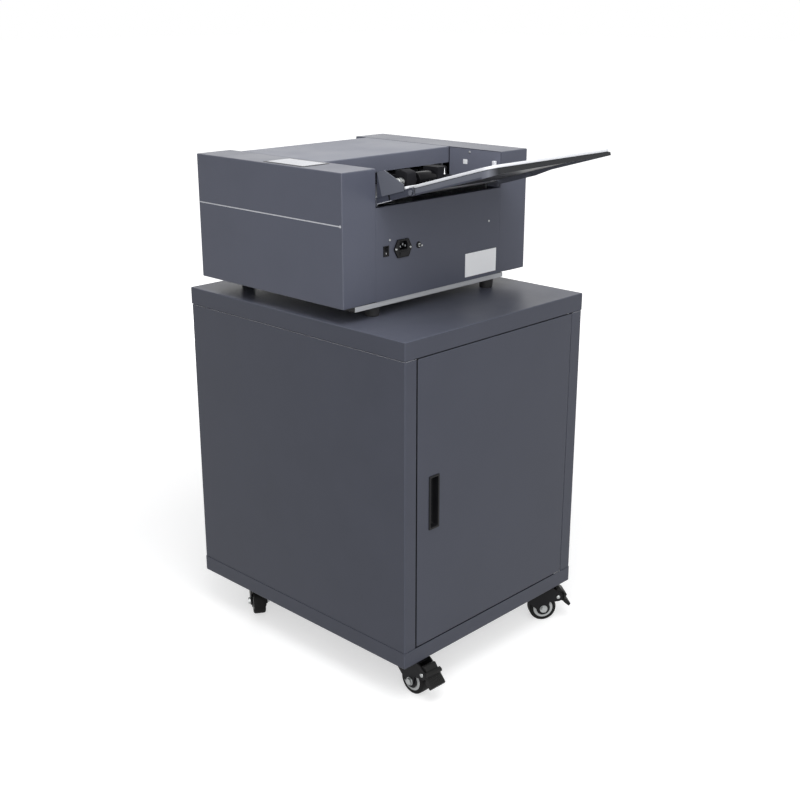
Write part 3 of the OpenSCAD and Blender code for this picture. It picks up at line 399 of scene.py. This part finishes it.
def folded(low, high, deep, face, way, axis, window=None):
    """Sheet folded along the four sides of a rectangle. Its rim is the rounded rectangle, and the section
    carried round it runs over the bend, down the lip as deep as that side's fold, round the sheet's edge and
    back up inside. Deep lists the four lips from the first side on; a window leaves a hole in the face."""
    steps = 5
    rim = rounded(corners(low, high), BEND, steps)
    deep = np.asarray(deep, float)
    mix = np.linspace(0, 1, steps)[None]
    lip = (np.roll(deep, 1)[:, None] * (1 - mix) + deep[:, None] * mix).reshape(-1)
    rows = [stand(inset(rim, BEND * (1 - math.sin(t))), face + way * BEND * (1 - math.cos(t)), axis)
            for t in np.linspace(0, math.pi / 2, 6)]
    rows += [stand(rim, face + way * lip, axis), stand(inset(rim, SHEET), face + way * lip, axis),
             stand(inset(rim, SHEET), face + way * SHEET, axis)]
    if window is not None:
        hole = rounded(corners(*window), 1.0, steps)
        inside = [stand(hole, face + way * SHEET, axis), stand(hole, face, axis)]
        rows = [stand(hole, face, axis)] + rows + inside
    return np.stack(rows)


base_net = folded((-CABINET_X, -CABINET_Y), (CABINET_X, CABINET_Y), [PAN_LIP] * 4, PAN_LOW, 1, "z")
base_pan = skin("base_pan", [base_net], slate_coat)
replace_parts(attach(base_pan, "cabinet"), "cabinet_base")

# Shell of the cabinet: one sheet wrapped round the back and the two sides and folded in to the front stiles.
# A tongue inside it closes the joint under the top. Its upward faces, the sheet's upper edge above all,
# are painted pale as a painted highlight.
# Two steel angles are welded inside it at the right, for the door's pivots.
STILE_LEFT, STILE_RIGHT = -242.5, 241
SHELL_IN, SHELL_LOW, SHELL_TOP = 0.9, 125.05, 733.5
TONGUE_IN, TONGUE_THICK, TONGUE_SHORT = 2.35, 2.0, 6.0
TONGUE_LOW, TONGUE_TOP = 727.0, 740.0
ANGLE_THICK = 3
shell_coat = finish("shell_coat", SLATE_DARK, SLATE_PALE, (0.36, 0.44), wear_and_sheen=SLATE_WEAR_AND_SHEEN,
                    painted_facing=(UP, (0.52, 0.53, 0.56)), Specular_IOR_Level=0.2)


def oblong(u0, v0, u1, v1, r=0.5):
    """Rectangle with rounded corners, as an outline."""
    return rounded(corners((u0, v0), (u1, v1)), r)


def wrapped(within, deep, ends, short=0.0):
    """Outline of a sheet wrapped round the back and sides and in to the two stiles: the outer line lies
    within the cabinet's faces, the inner line the sheet's depth inside it, and both may stop short."""
    x, y = CABINET_X - within, CABINET_Y - within
    a, b = x - deep, y - deep
    right, left = STILE_RIGHT + short, STILE_LEFT - short
    inner = 0.7
    return rounded([(right, -y), (x, -y), (x, y), (-x, y), (-x, -y), (left, -y),
                    (left, -b), (-a, -b), (-a, b), (a, b), (a, -b), (right, -b)],
                   [ends] + [BEND] * 4 + [ends] * 2 + [inner] * 4 + [ends])


shell_parts = [slab(wrapped(SHELL_IN, SHEET, 0.6), SHELL_LOW, SHELL_TOP, "z", 0.5),
               slab(wrapped(TONGUE_IN, TONGUE_THICK, 0.5, TONGUE_SHORT), TONGUE_LOW, TONGUE_TOP, "z", 0.2)]
for low, high, shelf in ((122, 170, 122), (689.5, 739.5, 736.5)):
    shell_parts.append(slab(oblong(270.5, -323.2, 273.5, -299.2), low, high, "z"))
    shell_parts.append(slab(oblong(219.5, -323.2, 273.5, -305.2), shelf, shelf + ANGLE_THICK, "z"))
shell = skin("shell", shell_parts, shell_coat)
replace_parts(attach(shell, "cabinet"), "cabinet_shell")

# Top of the cabinet: a folded lid of the same steel that caps the shell and carries the machine.
# Its lip stops just above the shell and the door. Its upper face is painted a little paler than its sides,
# as painted light from above.
TOP_HIGH, TOP_LIP = 772, 36.5
top_coat = finish("top_coat", SLATE_DARK, SLATE_PALE, (0.36, 0.44), wear_and_sheen=SLATE_WEAR_AND_SHEEN,
                  painted_facing=(UP, (0.080, 0.086, 0.113)), Specular_IOR_Level=0.2)
top_net = folded((-CABINET_X, -CABINET_Y), (CABINET_X, CABINET_Y), [TOP_LIP] * 4, TOP_HIGH, -1, "z")
top_pan = skin("top_pan", [top_net], top_coat)
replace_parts(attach(top_pan, "cabinet"), "cabinet_top")

# Door: a folded steel sheet with a cut-out for its pull, on two pivot pins at the right. Its free edge and
# upper lip are painted black as painted shade, so that the gap round it reads dark. The pull is a black
# plastic cup pushed into the cut-out, with a flat rim and a hollow for the fingers.
DOOR_HALF, DOOR_LOW, DOOR_TOP, DOOR_LIP = 239.5, 127, 733.4, 18
FREE_AND_UP = (-0.707, 0, 0.707)
PULL_HOLE = ((-205, 376), (-179, 486))
PULL_LOW, PULL_HIGH = (-207.0, 374.0), (-177.0, 488.0)
door_coat = finish("door_coat", SLATE_DARK, SLATE_PALE, (0.36, 0.43), broad=5, wear_and_sheen=SLATE_WEAR_AND_SHEEN,
                   painted_facing=(FREE_AND_UP, (0.006, 0.006, 0.007)), Specular_IOR_Level=0.2)
door_net = folded((-DOOR_HALF, DOOR_LOW), (DOOR_HALF, DOOR_TOP), [DOOR_LIP] * 4, -CABINET_Y, 1, "y",
                  window=PULL_HOLE)
door_sheet = skin("door_sheet", [door_net], door_coat)
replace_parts(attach(door_sheet, "door"), "cabinet_door")
black_mould = finish("black_mould", (0.005, 0.005, 0.006), (0.009, 0.009, 0.010), (0.3, 0.42), fine=1100,
                     Specular_IOR_Level=0.15)


def cup(low, high, section):
    """Section of (inset from the rim, height) carried round a rectangle with rounded corners. From just under
    the rim's corner radius on, the rectangle is made anew with a smaller one."""
    rim_r, inner_r, rim_reach = 2.5, 1.5, 2.4
    rim = oblong(*low, *high, rim_r)
    rows = []
    for d, h in section:
        if d < rim_reach:
            loop = inset(rim, d)
        else:
            loop = oblong(low[0] + d, low[1] + d, high[0] - d, high[1] - d, inner_r)
        rows.append(stand(loop, h, "y"))
    return np.stack(rows)


pull_section = [(2.1, -309), (2.1, -325), (0, -325), (0, -326.2), (0.6, -326.9), (1.4, -327), (3.6, -327),
                (4.4, -326.4), (4.8, -325), (5.2, -318), (6.2, -313.5), (8.0, -311.5), (10, -311)]
pull = skin("pull", [cup(PULL_LOW, PULL_HIGH, pull_section)], black_mould, smooth=30)
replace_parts(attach(pull, "door"), "door_pull")
dress(zinc_plate, "door_pins")

# Feet of the machine: four moulded rubber cones, wider at the top, with softened rims.
# They are fixed under the base plate and stand loose on the cabinet's top.
FEET_X, FEET_Y = (-175, 175), (-138, 248)
foot_rubber = finish("foot_rubber", (0.010, 0.010, 0.011), (0.018, 0.018, 0.019), (0.6, 0.78), fine=400,
                     relief=0.00006)
cone = [(0, 0), (0, 12.8), (0.6, 13.7), (1.6, 14.2), (20.4, 15.6), (21.4, 15.7), (22, 15.2), (22, 0)]
feet = skin("feet", [turned(cone, (x, y, TOP_HIGH), UP, 48) for x in FEET_X for y in FEET_Y], foot_rubber,
            smooth=40)
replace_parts(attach(feet, "cabinet"), "machine_feet")

# Base plate: an aluminium plate, black on its faces, with the front right corner cut away.
# Its front edge is milled bare and slopes back under the covers, so it shows as a bright strip.
FRONT_Y, COVERS_LOW = -162, 804
BASE_HALF, BASE_CUT, BASE_FRONT, BASE_DEEP, BASE_THICK = 243, 40, 1.6, 439.5, 10
CUT_X = BASE_HALF - BASE_CUT
plate_black = finish("plate_black", (0.010, 0.010, 0.011), (0.016, 0.016, 0.017), (0.45, 0.6),
                     Specular_IOR_Level=0.3)
bare_edge = finish("bare_edge", (0.33, 0.34, 0.36), (0.40, 0.41, 0.43), (0.4, 0.5), broad=30,
                   stretch=(1.0, 20.0, 20.0), Metallic=0.35)


def in_machine(net):
    """Moves a net from the machine's own frame, which gives depth behind its front and height above the
    covers' lower edge."""
    return net + [0, FRONT_Y, COVERS_LOW]


plan = [(-BASE_HALF, BASE_FRONT), (CUT_X, BASE_FRONT), (CUT_X, BASE_CUT), (BASE_HALF, BASE_CUT),
        (BASE_HALF, BASE_DEEP), (-BASE_HALF, BASE_DEEP)]
base_slab = skin("base_slab", [in_machine(slab(rounded(plan, 1.0), -BASE_THICK, 0, "z", 0.4))], plate_black)
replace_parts(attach(base_slab, "cabinet"), "base_plate")
bare_slope = rounded([(0.5, -9.9), (1.8, -9.9), (1.8, -0.2), (1.4, -0.2)], 0.2, 3)
front_strip = skin("front_strip", [in_machine(slab(bare_slope, -BASE_HALF, CUT_X, "x", 0.08))], bare_edge)
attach(front_strip, "cabinet")

# Side frames: milled aluminium plates that carry the rollers and knives, held apart by three bright tie bars.
# They are bolted to the base plate.
milled_alu = finish("milled_alu", (0.55, 0.56, 0.57), (0.68, 0.69, 0.70), (0.3, 0.42), fine=300, broad=30,
                    stretch=(2.0, 40.0, 2.0), Metallic=1.0)
bright_bar = finish("bright_bar", (0.56, 0.57, 0.58), (0.68, 0.69, 0.70), (0.18, 0.3), broad=30,
                    stretch=(1.0, 20.0, 20.0), Metallic=1.0)
dress(milled_alu, "frame_left", "frame_right")
dress(bright_bar, "tie_bars")

# Rollers: ground black rubber on bright steel shafts. The pick-up roller hangs in a black moulded arm.
# Its shaft ends at the left in a bright knob, and a bearing block with rounded edges holds it there.
# A bright wire feeler for the cards hangs in front of the arm at the right.
PICK_AXIS = (0, 50, 218.3)
ACROSS = (1, 0, 0)
BLOCK_LEFT, BLOCK_RIGHT = -58, -31
roller_rubber = finish("roller_rubber", (0.004, 0.004, 0.005), (0.006, 0.006, 0.007), (0.1, 0.16), fine=900,
                       relief=0.000004, Specular_IOR_Level=0.1)
arm_mould = finish("arm_mould", (0.012, 0.012, 0.014), (0.018, 0.018, 0.021), (0.55, 0.7), fine=700,
                   Specular_IOR_Level=0.05)
dress(roller_rubber, "feed_roller_upper", "feed_roller_lower", "exit_roller")
dress(arm_mould, "pickup_arm")
sleeve = [(-25, 0), (-25, 14.2), (-24.6, 14.8), (-24, 15), (24, 15), (24.6, 14.8), (25, 14.2), (25, 0)]
pick_sleeve = skin("pick_sleeve", [in_machine(turned(sleeve, PICK_AXIS, ACROSS, 72))], roller_rubber,
                   smooth=40)
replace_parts(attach(pick_sleeve, "pickup_roller"), "pickup_roller")
knob = [(-77, 0), (-77, 5.5), (-76, 7), (-75, 8), (-71, 8), (-70, 6.4), (-68, 6.4), (-67, 8), (-63, 8),
        (-62, 7), (-61, 5.5), (-61, 4), (-24.5, 4), (24.5, 4), (46, 4), (46, 0)]
pick_shaft = skin("pick_shaft", [in_machine(turned(knob, PICK_AXIS, ACROSS, 48))], zinc_plate, smooth=40)
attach(pick_shaft, "pickup_roller")
block = rounded([(40, 206), (70, 206), (74, 238), (58, 240.5), (40, 236)], [2, 2, 4, 4, 5])
pick_block = skin("pick_block", [in_machine(slab(block, BLOCK_LEFT, BLOCK_RIGHT, "x", 1.5))], arm_mould,
                  smooth=40)
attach(pick_block, "pickup_arm")
feeler = [(0, 0), (0, 1.6), (0.8, 2.3), (1.8, 2.6), (2.8, 2.3), (3.6, 1.5), (4.2, 1.0), (14, 1.0), (14, 0)]
wire = [(0, 0), (0, 1.0), (5, 1.0), (5, 0)]
feeler_parts = [turned(feeler, (46, 33.5, 222.5), UP, 24), turned(wire, (46, 33, 236), (0, 1, 0), 16)]
card_feeler = skin("card_feeler", [in_machine(net) for net in feeler_parts], bright_bar, smooth=50)
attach(card_feeler, "pickup_arm")

# Slitters and knives: discs on two geared shafts, and a fixed and a moving blade, all of ground tool steel.
# The shafts turn in the side frames, and the moving blade slides on guide columns.
tool_steel = finish("tool_steel", (0.42, 0.44, 0.46), (0.55, 0.57, 0.6), (0.18, 0.32), broad=40,
                    stretch=(1.0, 25.0, 6.0), Metallic=1.0)
dress(tool_steel, "slitter_upper", "slitter_lower", "fixed_knife", "knife_beam")

# Drive: a black motor outside the left frame and a rubber belt round three pulleys outside the right one.
# The power supply, in a plated case, stands on the base plate in the right-hand bay.
plated_sheet = finish("plated_sheet", (0.20, 0.21, 0.22), (0.28, 0.29, 0.30), (0.35, 0.5), broad=50,
                      Metallic=1.0)
dress(black_lacquer, "drive_motor")
dress(foot_rubber, "drive_belt")
dress(plated_sheet, "power_supply")

# Side covers: steel boxes folded from one sheet, open towards the middle, with a wall down into the feed
# notch and another beside the delivery notch. They are powder coated like the cabinet, the walls painted
# paler as painted light.
MACHINE_HALF, MACHINE_DEEP, MACHINE_HIGH = 275, 440, 260
COVER_LIPS = [14, 88, 88, 88]
WALL_IN, WALL_OUT = 187, 188.5
# The coat's paler folds are partly wear, partly a painted highlight.
cover_coat = finish("cover_coat", (0.074, 0.080, 0.108), (0.081, 0.087, 0.116), (0.34, 0.42),
                    wear_and_sheen=(0.09, 0.096, 0.122), Specular_IOR_Level=0.2)
wall_painted_light_coat = finish("wall_painted_light_coat", (0.142, 0.151, 0.194), (0.153, 0.162, 0.207), (0.34, 0.42),
                    Specular_IOR_Level=0.2)
feed_wall, delivery_wall = oblong(0.3, 185, 146, 259.6), oblong(405, 150, 439.7, 259.6)
for side, name in ((-1, "left"), (1, "right")):
    box_net = folded((0, 0), (MACHINE_DEEP, MACHINE_HIGH), COVER_LIPS, side * MACHINE_HALF, -side, "x")
    cover = skin(name + "_box", [in_machine(box_net)], cover_coat)
    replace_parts(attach(cover, "cabinet"), name + "_cover")
    thick = sorted((side * WALL_IN, side * WALL_OUT))
    wall_parts = [in_machine(slab(wall, *thick, "x", 0.5)) for wall in (feed_wall, delivery_wall)]
    walls = skin(name + "_walls", wall_parts, wall_painted_light_coat)
    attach(walls, "cabinet")

# Front and back panels: flat steel sheets between the side covers, coated like them.
# The back one is bent into a chute for the cards, and a small bare label is stuck on the notch's right wall.
dress(cover_coat, "front_panel", "back_panel")
plain_film = finish("plain_film", (0.89, 0.90, 0.92), (0.92, 0.93, 0.95), (0.4, 0.5), relief=0.0)
label = oblong(94, 226, 106, 236, 0.8)
wall_label = skin("wall_label", [in_machine(slab(label, WALL_IN - 0.3, WALL_IN + 0.2, "x", 0.1))], plain_film)
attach(wall_label, "cabinet")

# Top cover: a folded steel lid with a deep front face and shallower folds at its sides and back.
# It is powder coated, painted paler than the side covers as painted light, and swings up on two hinge pins
# at the back.
LID_HALF, LID_FRONT, LID_BACK = 186.2, 146, 405
LID_LIPS = [34, 18, 8, 18]
PIN_IN, PIN_V, PIN_W = 170, 393, 246
lid_painted_light_coat = finish("lid_painted_light_coat", (0.112, 0.120, 0.155), (0.121, 0.129, 0.166), (0.36, 0.44),
                  wear_and_sheen=(0.13, 0.138, 0.17), Specular_IOR_Level=0.2)
hinge_pin = [(0, 0), (0, 3), (16.2, 3), (16.2, 0)]
lid_parts = [folded((-LID_HALF, LID_FRONT), (LID_HALF, LID_BACK), LID_LIPS, MACHINE_HIGH, -1, "z")]
lid_parts += [turned(hinge_pin, (s * PIN_IN, PIN_V, PIN_W), (s, 0, 0), 32) for s in (-1, 1)]
lid = skin("lid", [in_machine(net) for net in lid_parts], lid_painted_light_coat)
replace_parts(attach(lid, "lid"), "top_cover")

# Feed table, tray bracket and folding tray: bent steel sheet with a matt coat. The table's coat is painted
# darker as painted shade inside the machine. The bracket's left guard has a sloping edge. The tray hangs on
# its two arms; its faces turned out and down are painted dark as painted shade, and a dark strip of painted
# shade lies along its left flange. The arms carry painted shade, a black slot of painted shadow and pale
# edges of painted highlight.
TRAY_TILT, SLOPE_W = math.radians(16), 204
OUT_AND_DOWN = (0, -0.875, -0.484)
table_shade_coat = finish("table_shade_coat", (0.016, 0.017, 0.021), (0.022, 0.024, 0.029), (0.5, 0.6),
                    Specular_IOR_Level=0.3)
# Faces turned out and down, the front lip and the underside, are painted dark as painted shade; the folds are
# paler, partly wear and partly a painted highlight.
tray_coat = finish("tray_coat", (0.110, 0.117, 0.142), (0.119, 0.126, 0.152), (0.36, 0.44),
                   wear_and_sheen=(0.12, 0.127, 0.15), painted_facing=(OUT_AND_DOWN, (0.014, 0.015, 0.017)),
                   Specular_IOR_Level=0.2)
# Pale ink, for the printed line and as painted highlight on the arm's edges.
pale_print_and_highlight = finish("pale_print_and_highlight", (0.44, 0.45, 0.48), (0.50, 0.51, 0.54), (0.4, 0.5), relief=0.0)
dress(table_shade_coat, "feed_table")
dress(tray_coat, "tray_bracket", "feed_tray")


def on_slope(net):
    """Tips a net from the tray's own frame, x across, y inwards and z square to it, by the tray's tilt."""
    c, s = math.cos(TRAY_TILT), math.sin(TRAY_TILT)
    return in_machine(net @ np.array([[1, 0, 0], [0, c, -s], [0, s, c]]) + [0, 0, SLOPE_W])


edge_line = np.array([(-79.2, 11.4), (-78.8, 11.1), (-35.2, 46.8), (-35.2, 47.2)])
guard_edge = skin("guard_edge", [on_slope(slab(edge_line, -184.6, -182.9, "x", 0.1))], tray_coat)
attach(guard_edge, "cabinet")
wing = rounded([(-15.2, 208.4), (-1.6, 204.4), (-1.6, 253.2)], 0.3, 3)
guard_return = skin("guard_return", [in_machine(slab(wing, -184.3, -183.2, "x", 0.1))], slate_coat)
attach(guard_return, "cabinet")
# Over the left arm: a darker face of painted shade under the guard, a black slot of painted shadow in the
# gap, and pale lips of painted highlight along its edges.
face_line = rounded(corners((-99.5, -10.9), (1.9, 2.9)), [6, 0.5, 0.5, 6])
slot_line = rounded(corners((-35.5, -10.2), (-31.5, 0.4)), 1.0, 3)
lip_lines = [rounded(corners((-38, -11.7), (1.9, -10.4)), 0.2, 3),
             rounded(corners((-12, 1.6), (1.9, 3.0)), 0.2, 3)]
lip_parts = [slab(line, -184.2, -183.1, "x", 0.1) for line in lip_lines]
for name, nets, coat in (("arm_face", [slab(face_line, -183.3, -182.8, "x", 0.1)], slate_coat),
                         ("arm_slot", [slab(slot_line, -183.5, -183.1, "x", 0.05)], black_mould),
                         ("arm_lip", lip_parts, pale_print_and_highlight)):
    arm_piece = skin(name, [on_slope(net) for net in nets], coat)
    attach(arm_piece, "cabinet")
# A darker strip along the tray's left flange: painted shade on its lower part.
flange_shade_strip = rounded(corners((-265, -12.6), (-93, -9.2)), 0.4, 3)
tray_shade_strip = skin("tray_shade_strip", [on_slope(slab(flange_shade_strip, -180.8, -180.1, "x", 0.2))], slate_coat)
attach(tray_shade_strip, "tray")

# Bed of the tray and sliding guide: white plastic. The bed is screwed flat on the tray's sheet, over a thin
# dark pad whose black is painted shade along the seam, and goes on as an apron on the bracket. The guide
# is a post on a foot that slides across the feed table.
BED_HALF, GUIDE_LOW = 178.3, 200.3
white_plastic = finish("white_plastic", (0.64, 0.65, 0.68), (0.68, 0.69, 0.72), (0.4, 0.5), fine=600,
                       relief=0.00001)
bed = rounded(corners((-BED_HALF, -287), (BED_HALF, -84)), [22, 1, 1, 1], 9)
bed_plate = skin("bed_plate", [on_slope(slab(bed, 0.9, 6.5, "z", 1.0))], white_plastic, smooth=40)
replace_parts(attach(bed_plate, "tray"), "tray_bed")
bed_shade_pad = skin("bed_shade_pad", [on_slope(slab(inset(bed, 0.5), 0, 1.0, "z", 0.05))], black_mould)
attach(bed_shade_pad, "tray")
apron = rounded(corners((-BED_HALF, -75.6), (BED_HALF, -14)), 1.0)
apron_bed = skin("apron_bed", [on_slope(slab(apron, 0, 8.5, "z", 1.0))], white_plastic, smooth=40)
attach(apron_bed, "cabinet")
guide_parts = [slab(oblong(162, 6, 180, 40, 1.2), GUIDE_LOW, 203, "z", 0.6),
               slab(oblong(172.5, 6, 180, 13.5, 1.2), GUIDE_LOW, 241, "z", 0.8)]
guide_post = skin("guide_post", [in_machine(net) for net in guide_parts], white_plastic, smooth=40)
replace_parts(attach(guide_post, "side_guide"), "side_guide")

# Touch screen: a black moulded frame let into the top of the left cover, a little proud of it.
# Behind its glass is a lit, blank display.
bezel_net = slab(oblong(-266, 116, -196, 236, 3), 248, 260.6, "z", 0.4)
bezel = skin("screen_bezel", [in_machine(bezel_net)], black_mould)
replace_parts(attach(bezel, "cabinet"), "touch_screen")
display_glass = finish("display_glass", (0.10, 0.11, 0.14), (0.12, 0.13, 0.16), (0.12, 0.2), relief=0.0,
                       Emission_Color=(0.72, 0.75, 0.88, 1), Emission_Strength=0.06)
glass_net = slab(oblong(-261, 121, -201, 231, 1.5), 260.0, 260.9, "z", 0.2)
display = skin("screen_display", [in_machine(glass_net)], display_glass)
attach(display, "cabinet")

# Mains inlet, switch and earth stud in a row on the front panel. The inlet is moulded black, with a raised
# bead round its flange and its socket, three plated blades and a fuse drawer. The switch has a rocker with
# a dash on it.
PORT_W, INLET_X, SWITCH_X, EARTH_X = 98, -113, -159, -66.5
INLET_FACE = -3
OUTWARD = (0, -1, 0)
ROCKER_TILT = math.radians(8)
dress(black_mould, "power_inlet", "fuse_drawer", "switch_housing", "switch_rocker")
dress(zinc_plate, "earth_stud")


def bead(outline, face, high, wide):
    """Low ridge along an outline: its section rises from the face, is flat on top and falls again inside."""
    section = [(0, 0), (0.1, high * 0.7), (0.35, high), (wide - 0.35, high), (wide - 0.1, high * 0.7),
               (wide, 0), (wide, -0.2), (0, -0.2), (0, 0)]
    return np.stack([stand(inset(outline, d), face - h, "y") for d, h in section])


inlet_middle = [INLET_X, PORT_W]
flange = rounded([(-25, 0), (-15, -18), (15, -18), (25, 0), (15, 18), (-15, 18)], 2.5) + inlet_middle
socket_plan = [(-12.6, -3.6), (12.6, -3.6), (12.6, 9), (8, 15.6), (-8, 15.6), (-12.6, 9)]
socket = rounded(socket_plan, 1.5) + inlet_middle
trim_parts = [bead(flange, INLET_FACE, 0.5, 1.4), bead(socket, INLET_FACE, 0.7, 1.3)]
inlet_trim = skin("inlet_trim", [in_machine(net) for net in trim_parts], black_mould, smooth=50)
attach(inlet_trim, "cabinet")
blade = rounded(corners((-1.15, -2.15), (1.15, 2.15)), 0.5, 3) + inlet_middle
blade_parts = [slab(blade + p, -1.4, 13.9, "y", 0.4) for p in ((-7, 4), (0, 8), (7, 4))]
blades = skin("inlet_blades", [in_machine(net) for net in blade_parts], plated_sheet)
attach(blades, "cabinet")
rocker_turn = np.array([[math.cos(ROCKER_TILT), math.sin(ROCKER_TILT)],
                        [-math.sin(ROCKER_TILT), math.cos(ROCKER_TILT)]])
flat_dash = np.array([(-5.75, -5.6), (-5.4, -5.6), (-4.9, -2.4), (-5.25, -2.4)])
dash = flat_dash @ rocker_turn + [4, PORT_W]
dash_net = slab(dash, SWITCH_X - 0.45, SWITCH_X + 0.45, "x", 0.05)
rocker_dash = skin("rocker_dash", [in_machine(dash_net)], plain_film)
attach(rocker_dash, "rocker")
seat = [(0, 0), (0, 6.4), (0.5, 6.8), (1.2, 6.6), (1.5, 5.6), (1.5, 0)]
seat_net = turned(seat, (EARTH_X, 0, PORT_W), OUTWARD, 40)
earth_seat = skin("earth_seat", [in_machine(seat_net)], black_mould, smooth=50)
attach(earth_seat, "cabinet")

# Screws of the panels, the notch's walls and the inlet: zinc-plated pan heads with a round recess.
# Each stands 1.2 mm proud of what it holds.
pan = [(0, 0), (0, 2.5), (0.6, 2.5), (1.0, 2.1), (1.2, 1.4), (1.2, 1.1), (0.6, 0.6), (0.5, 0)]
screws = [((x, 0, PORT_W + 20.5), OUTWARD) for x in (SWITCH_X + 11, -SWITCH_X - 8)]
screws += [((s * WALL_IN, 88, 252), (-s, 0, 0)) for s in (-1, 1)]
screws += [((INLET_X + x, INLET_FACE, PORT_W), OUTWARD) for x in (-20, 20)]
screws += [((x, MACHINE_DEEP, w), (0, 1, 0)) for x in (-150, 150) for w in (20, 120)]
head_parts = [in_machine(turned(pan, spot, way, 24)) for spot, way in screws]
pan_heads = skin("pan_heads", head_parts, zinc_plate, smooth=50)
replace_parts(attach(pan_heads, "cabinet"), "cover_screws")

# Rating plate: a blank film of white plastic, half a millimetre thick.
# It is stuck flat on the front panel, low at the right.
dress(plain_film, "rating_plate")

# Line along the left cover: a thin stripe of pale ink, printed on the coat.
# It runs the length of the cover and ends in a dot at the front.
LINE_W = 160
stripe = slab(oblong(4, LINE_W - 1.1, 437.5, LINE_W + 1.1, 0.3), -275.12, -274.9, "x", 0.02)
dot = turned([(0, 0), (0, 2.6), (0.2, 2.6), (0.2, 0)], (-275.15, 5.5, LINE_W), ACROSS, 24)
cover_line = skin("cover_line", [in_machine(stripe), in_machine(dot)], pale_print_and_highlight)
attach(cover_line, "cabinet")

# Studio: a pale floor that runs into a white background. Their white shows only to the camera, in gloss and
# through glass, and the world itself lights softly from all round. Four soft lamps add the rest of the light,
# and the camera stands where the picture was taken from.
FLOOR_HALF = 40
FADE_NEAR, FADE_FAR, FLOOR_TONES = 0.8, 3.5, (0.55, 1.0)
LAMP_AIM = np.array([0, 0, 0.6])
CAMERA_RIGHT, CAMERA_UP = (0.6955, -0.7184, 0.0), (0.2274, 0.2201, 0.9485)
CAMERA_BACK, CAMERA_SPOT = (-0.6815, -0.6598, 0.3165), (-1.793, -1.782, 1.364)


def seen_white(tree):
    """Mask of the rays that see the background itself: from the camera, or through gloss or glass."""
    ray = tree.nodes.new("ShaderNodeLightPath")
    return largest(tree, ray.outputs["Is Camera Ray"],
                   (ray.outputs["Is Glossy Ray"], ray.outputs["Is Transmission Ray"]))


def chosen(tree, mask, plain, seen):
    """Shader that is the plain one, and the seen one where the mask is 1."""
    pick = tree.nodes.new("ShaderNodeMixShader")
    tree.links.new(mask, pick.inputs["Fac"])
    tree.links.new(plain, pick.inputs[1])
    tree.links.new(seen, pick.inputs[2])
    return pick.outputs["Shader"]


floor_mesh = bpy.data.meshes.new("floor")
floor_corners = corners((-FLOOR_HALF, -FLOOR_HALF), (FLOOR_HALF, FLOOR_HALF))
floor_mesh.from_pydata([(x, y, 0) for x, y in floor_corners], [], [(0, 1, 2, 3)])
floor = bpy.data.objects.new("floor", floor_mesh)
bpy.context.scene.collection.objects.link(floor)
pale = bpy.data.materials.new("pale_floor")
pale.use_nodes = True
tree = pale.node_tree
matt = tree.nodes["Principled BSDF"]
matt.inputs["Base Color"].default_value = (0.6, 0.6, 0.6, 1)
matt.inputs["Roughness"].default_value = 0.9
matt.inputs["Specular IOR Level"].default_value = 0.0
place = tree.nodes.new("ShaderNodeTexCoord")
away = tree.nodes.new("ShaderNodeVectorMath")
away.operation = "LENGTH"
tree.links.new(place.outputs["Object"], away.inputs[0])
glow = tree.nodes.new("ShaderNodeEmission")
fade = ranged(tree, away.outputs["Value"], FADE_NEAR, FADE_FAR, FLOOR_TONES)
tree.links.new(fade, glow.inputs["Strength"])
nothing = tree.nodes.new("ShaderNodeEmission")
nothing.inputs["Strength"].default_value = 0.0
shown = chosen(tree, seen_white(tree), nothing.outputs["Emission"], glow.outputs["Emission"])
both = tree.nodes.new("ShaderNodeAddShader")
tree.links.new(matt.outputs["BSDF"], both.inputs[0])
tree.links.new(shown, both.inputs[1])
tree.links.new(both.outputs["Shader"], tree.nodes["Material Output"].inputs["Surface"])
floor_mesh.materials.append(pale)

world = bpy.data.worlds.new("studio")
bpy.context.scene.world = world
world.use_nodes = True
tree = world.node_tree
soft = tree.nodes["Background"]
soft.inputs["Color"].default_value = (0.97, 0.98, 1.0, 1)
soft.inputs["Strength"].default_value = 0.3
white = tree.nodes.new("ShaderNodeBackground")
white.inputs["Color"].default_value = (1, 1, 1, 1)
white.inputs["Strength"].default_value = 1.0
sky = chosen(tree, seen_white(tree), soft.outputs["Background"], white.outputs["Background"])
tree.links.new(sky, tree.nodes["World Output"].inputs["Surface"])


def placed(right, up, back, spot):
    """Matrix of an object whose own axes are right, up and back, at a spot."""
    return Matrix([*np.stack([right, up, back, spot], -1).tolist(), (0, 0, 0, 1)])


for name, spot, size, power in (("key", (-1.65, -2.2, 2.0), 3.2, 80),
                                ("overhead", (-0.5, -0.8, 2.9), 1.8, 40),
                                ("behind", (2.5, 2.5, 2.4), 2.6, 10),
                                ("rear", (2.0, 2.4, 0.34), 0.7, 36)):
    lamp = bpy.data.lights.new(name, "AREA")
    lamp.size = size
    lamp.energy = power
    light = bpy.data.objects.new(name, lamp)
    bpy.context.scene.collection.objects.link(light)
    aim = LAMP_AIM - spot
    aim = aim / np.linalg.norm(aim)
    right = np.cross(aim, [0, 1, 0.01])
    right /= np.linalg.norm(right)
    light.matrix_world = placed(right, np.cross(right, aim), -aim, spot)

lens = bpy.data.cameras.new("camera")
lens.sensor_width = 36
lens.lens = 53.75
camera = bpy.data.objects.new("camera", lens)
bpy.context.scene.collection.objects.link(camera)
camera.matrix_world = placed(CAMERA_RIGHT, CAMERA_UP, CAMERA_BACK, CAMERA_SPOT)
bpy.context.scene.camera = camera
bpy.context.scene.view_settings.view_transform = "Standard"
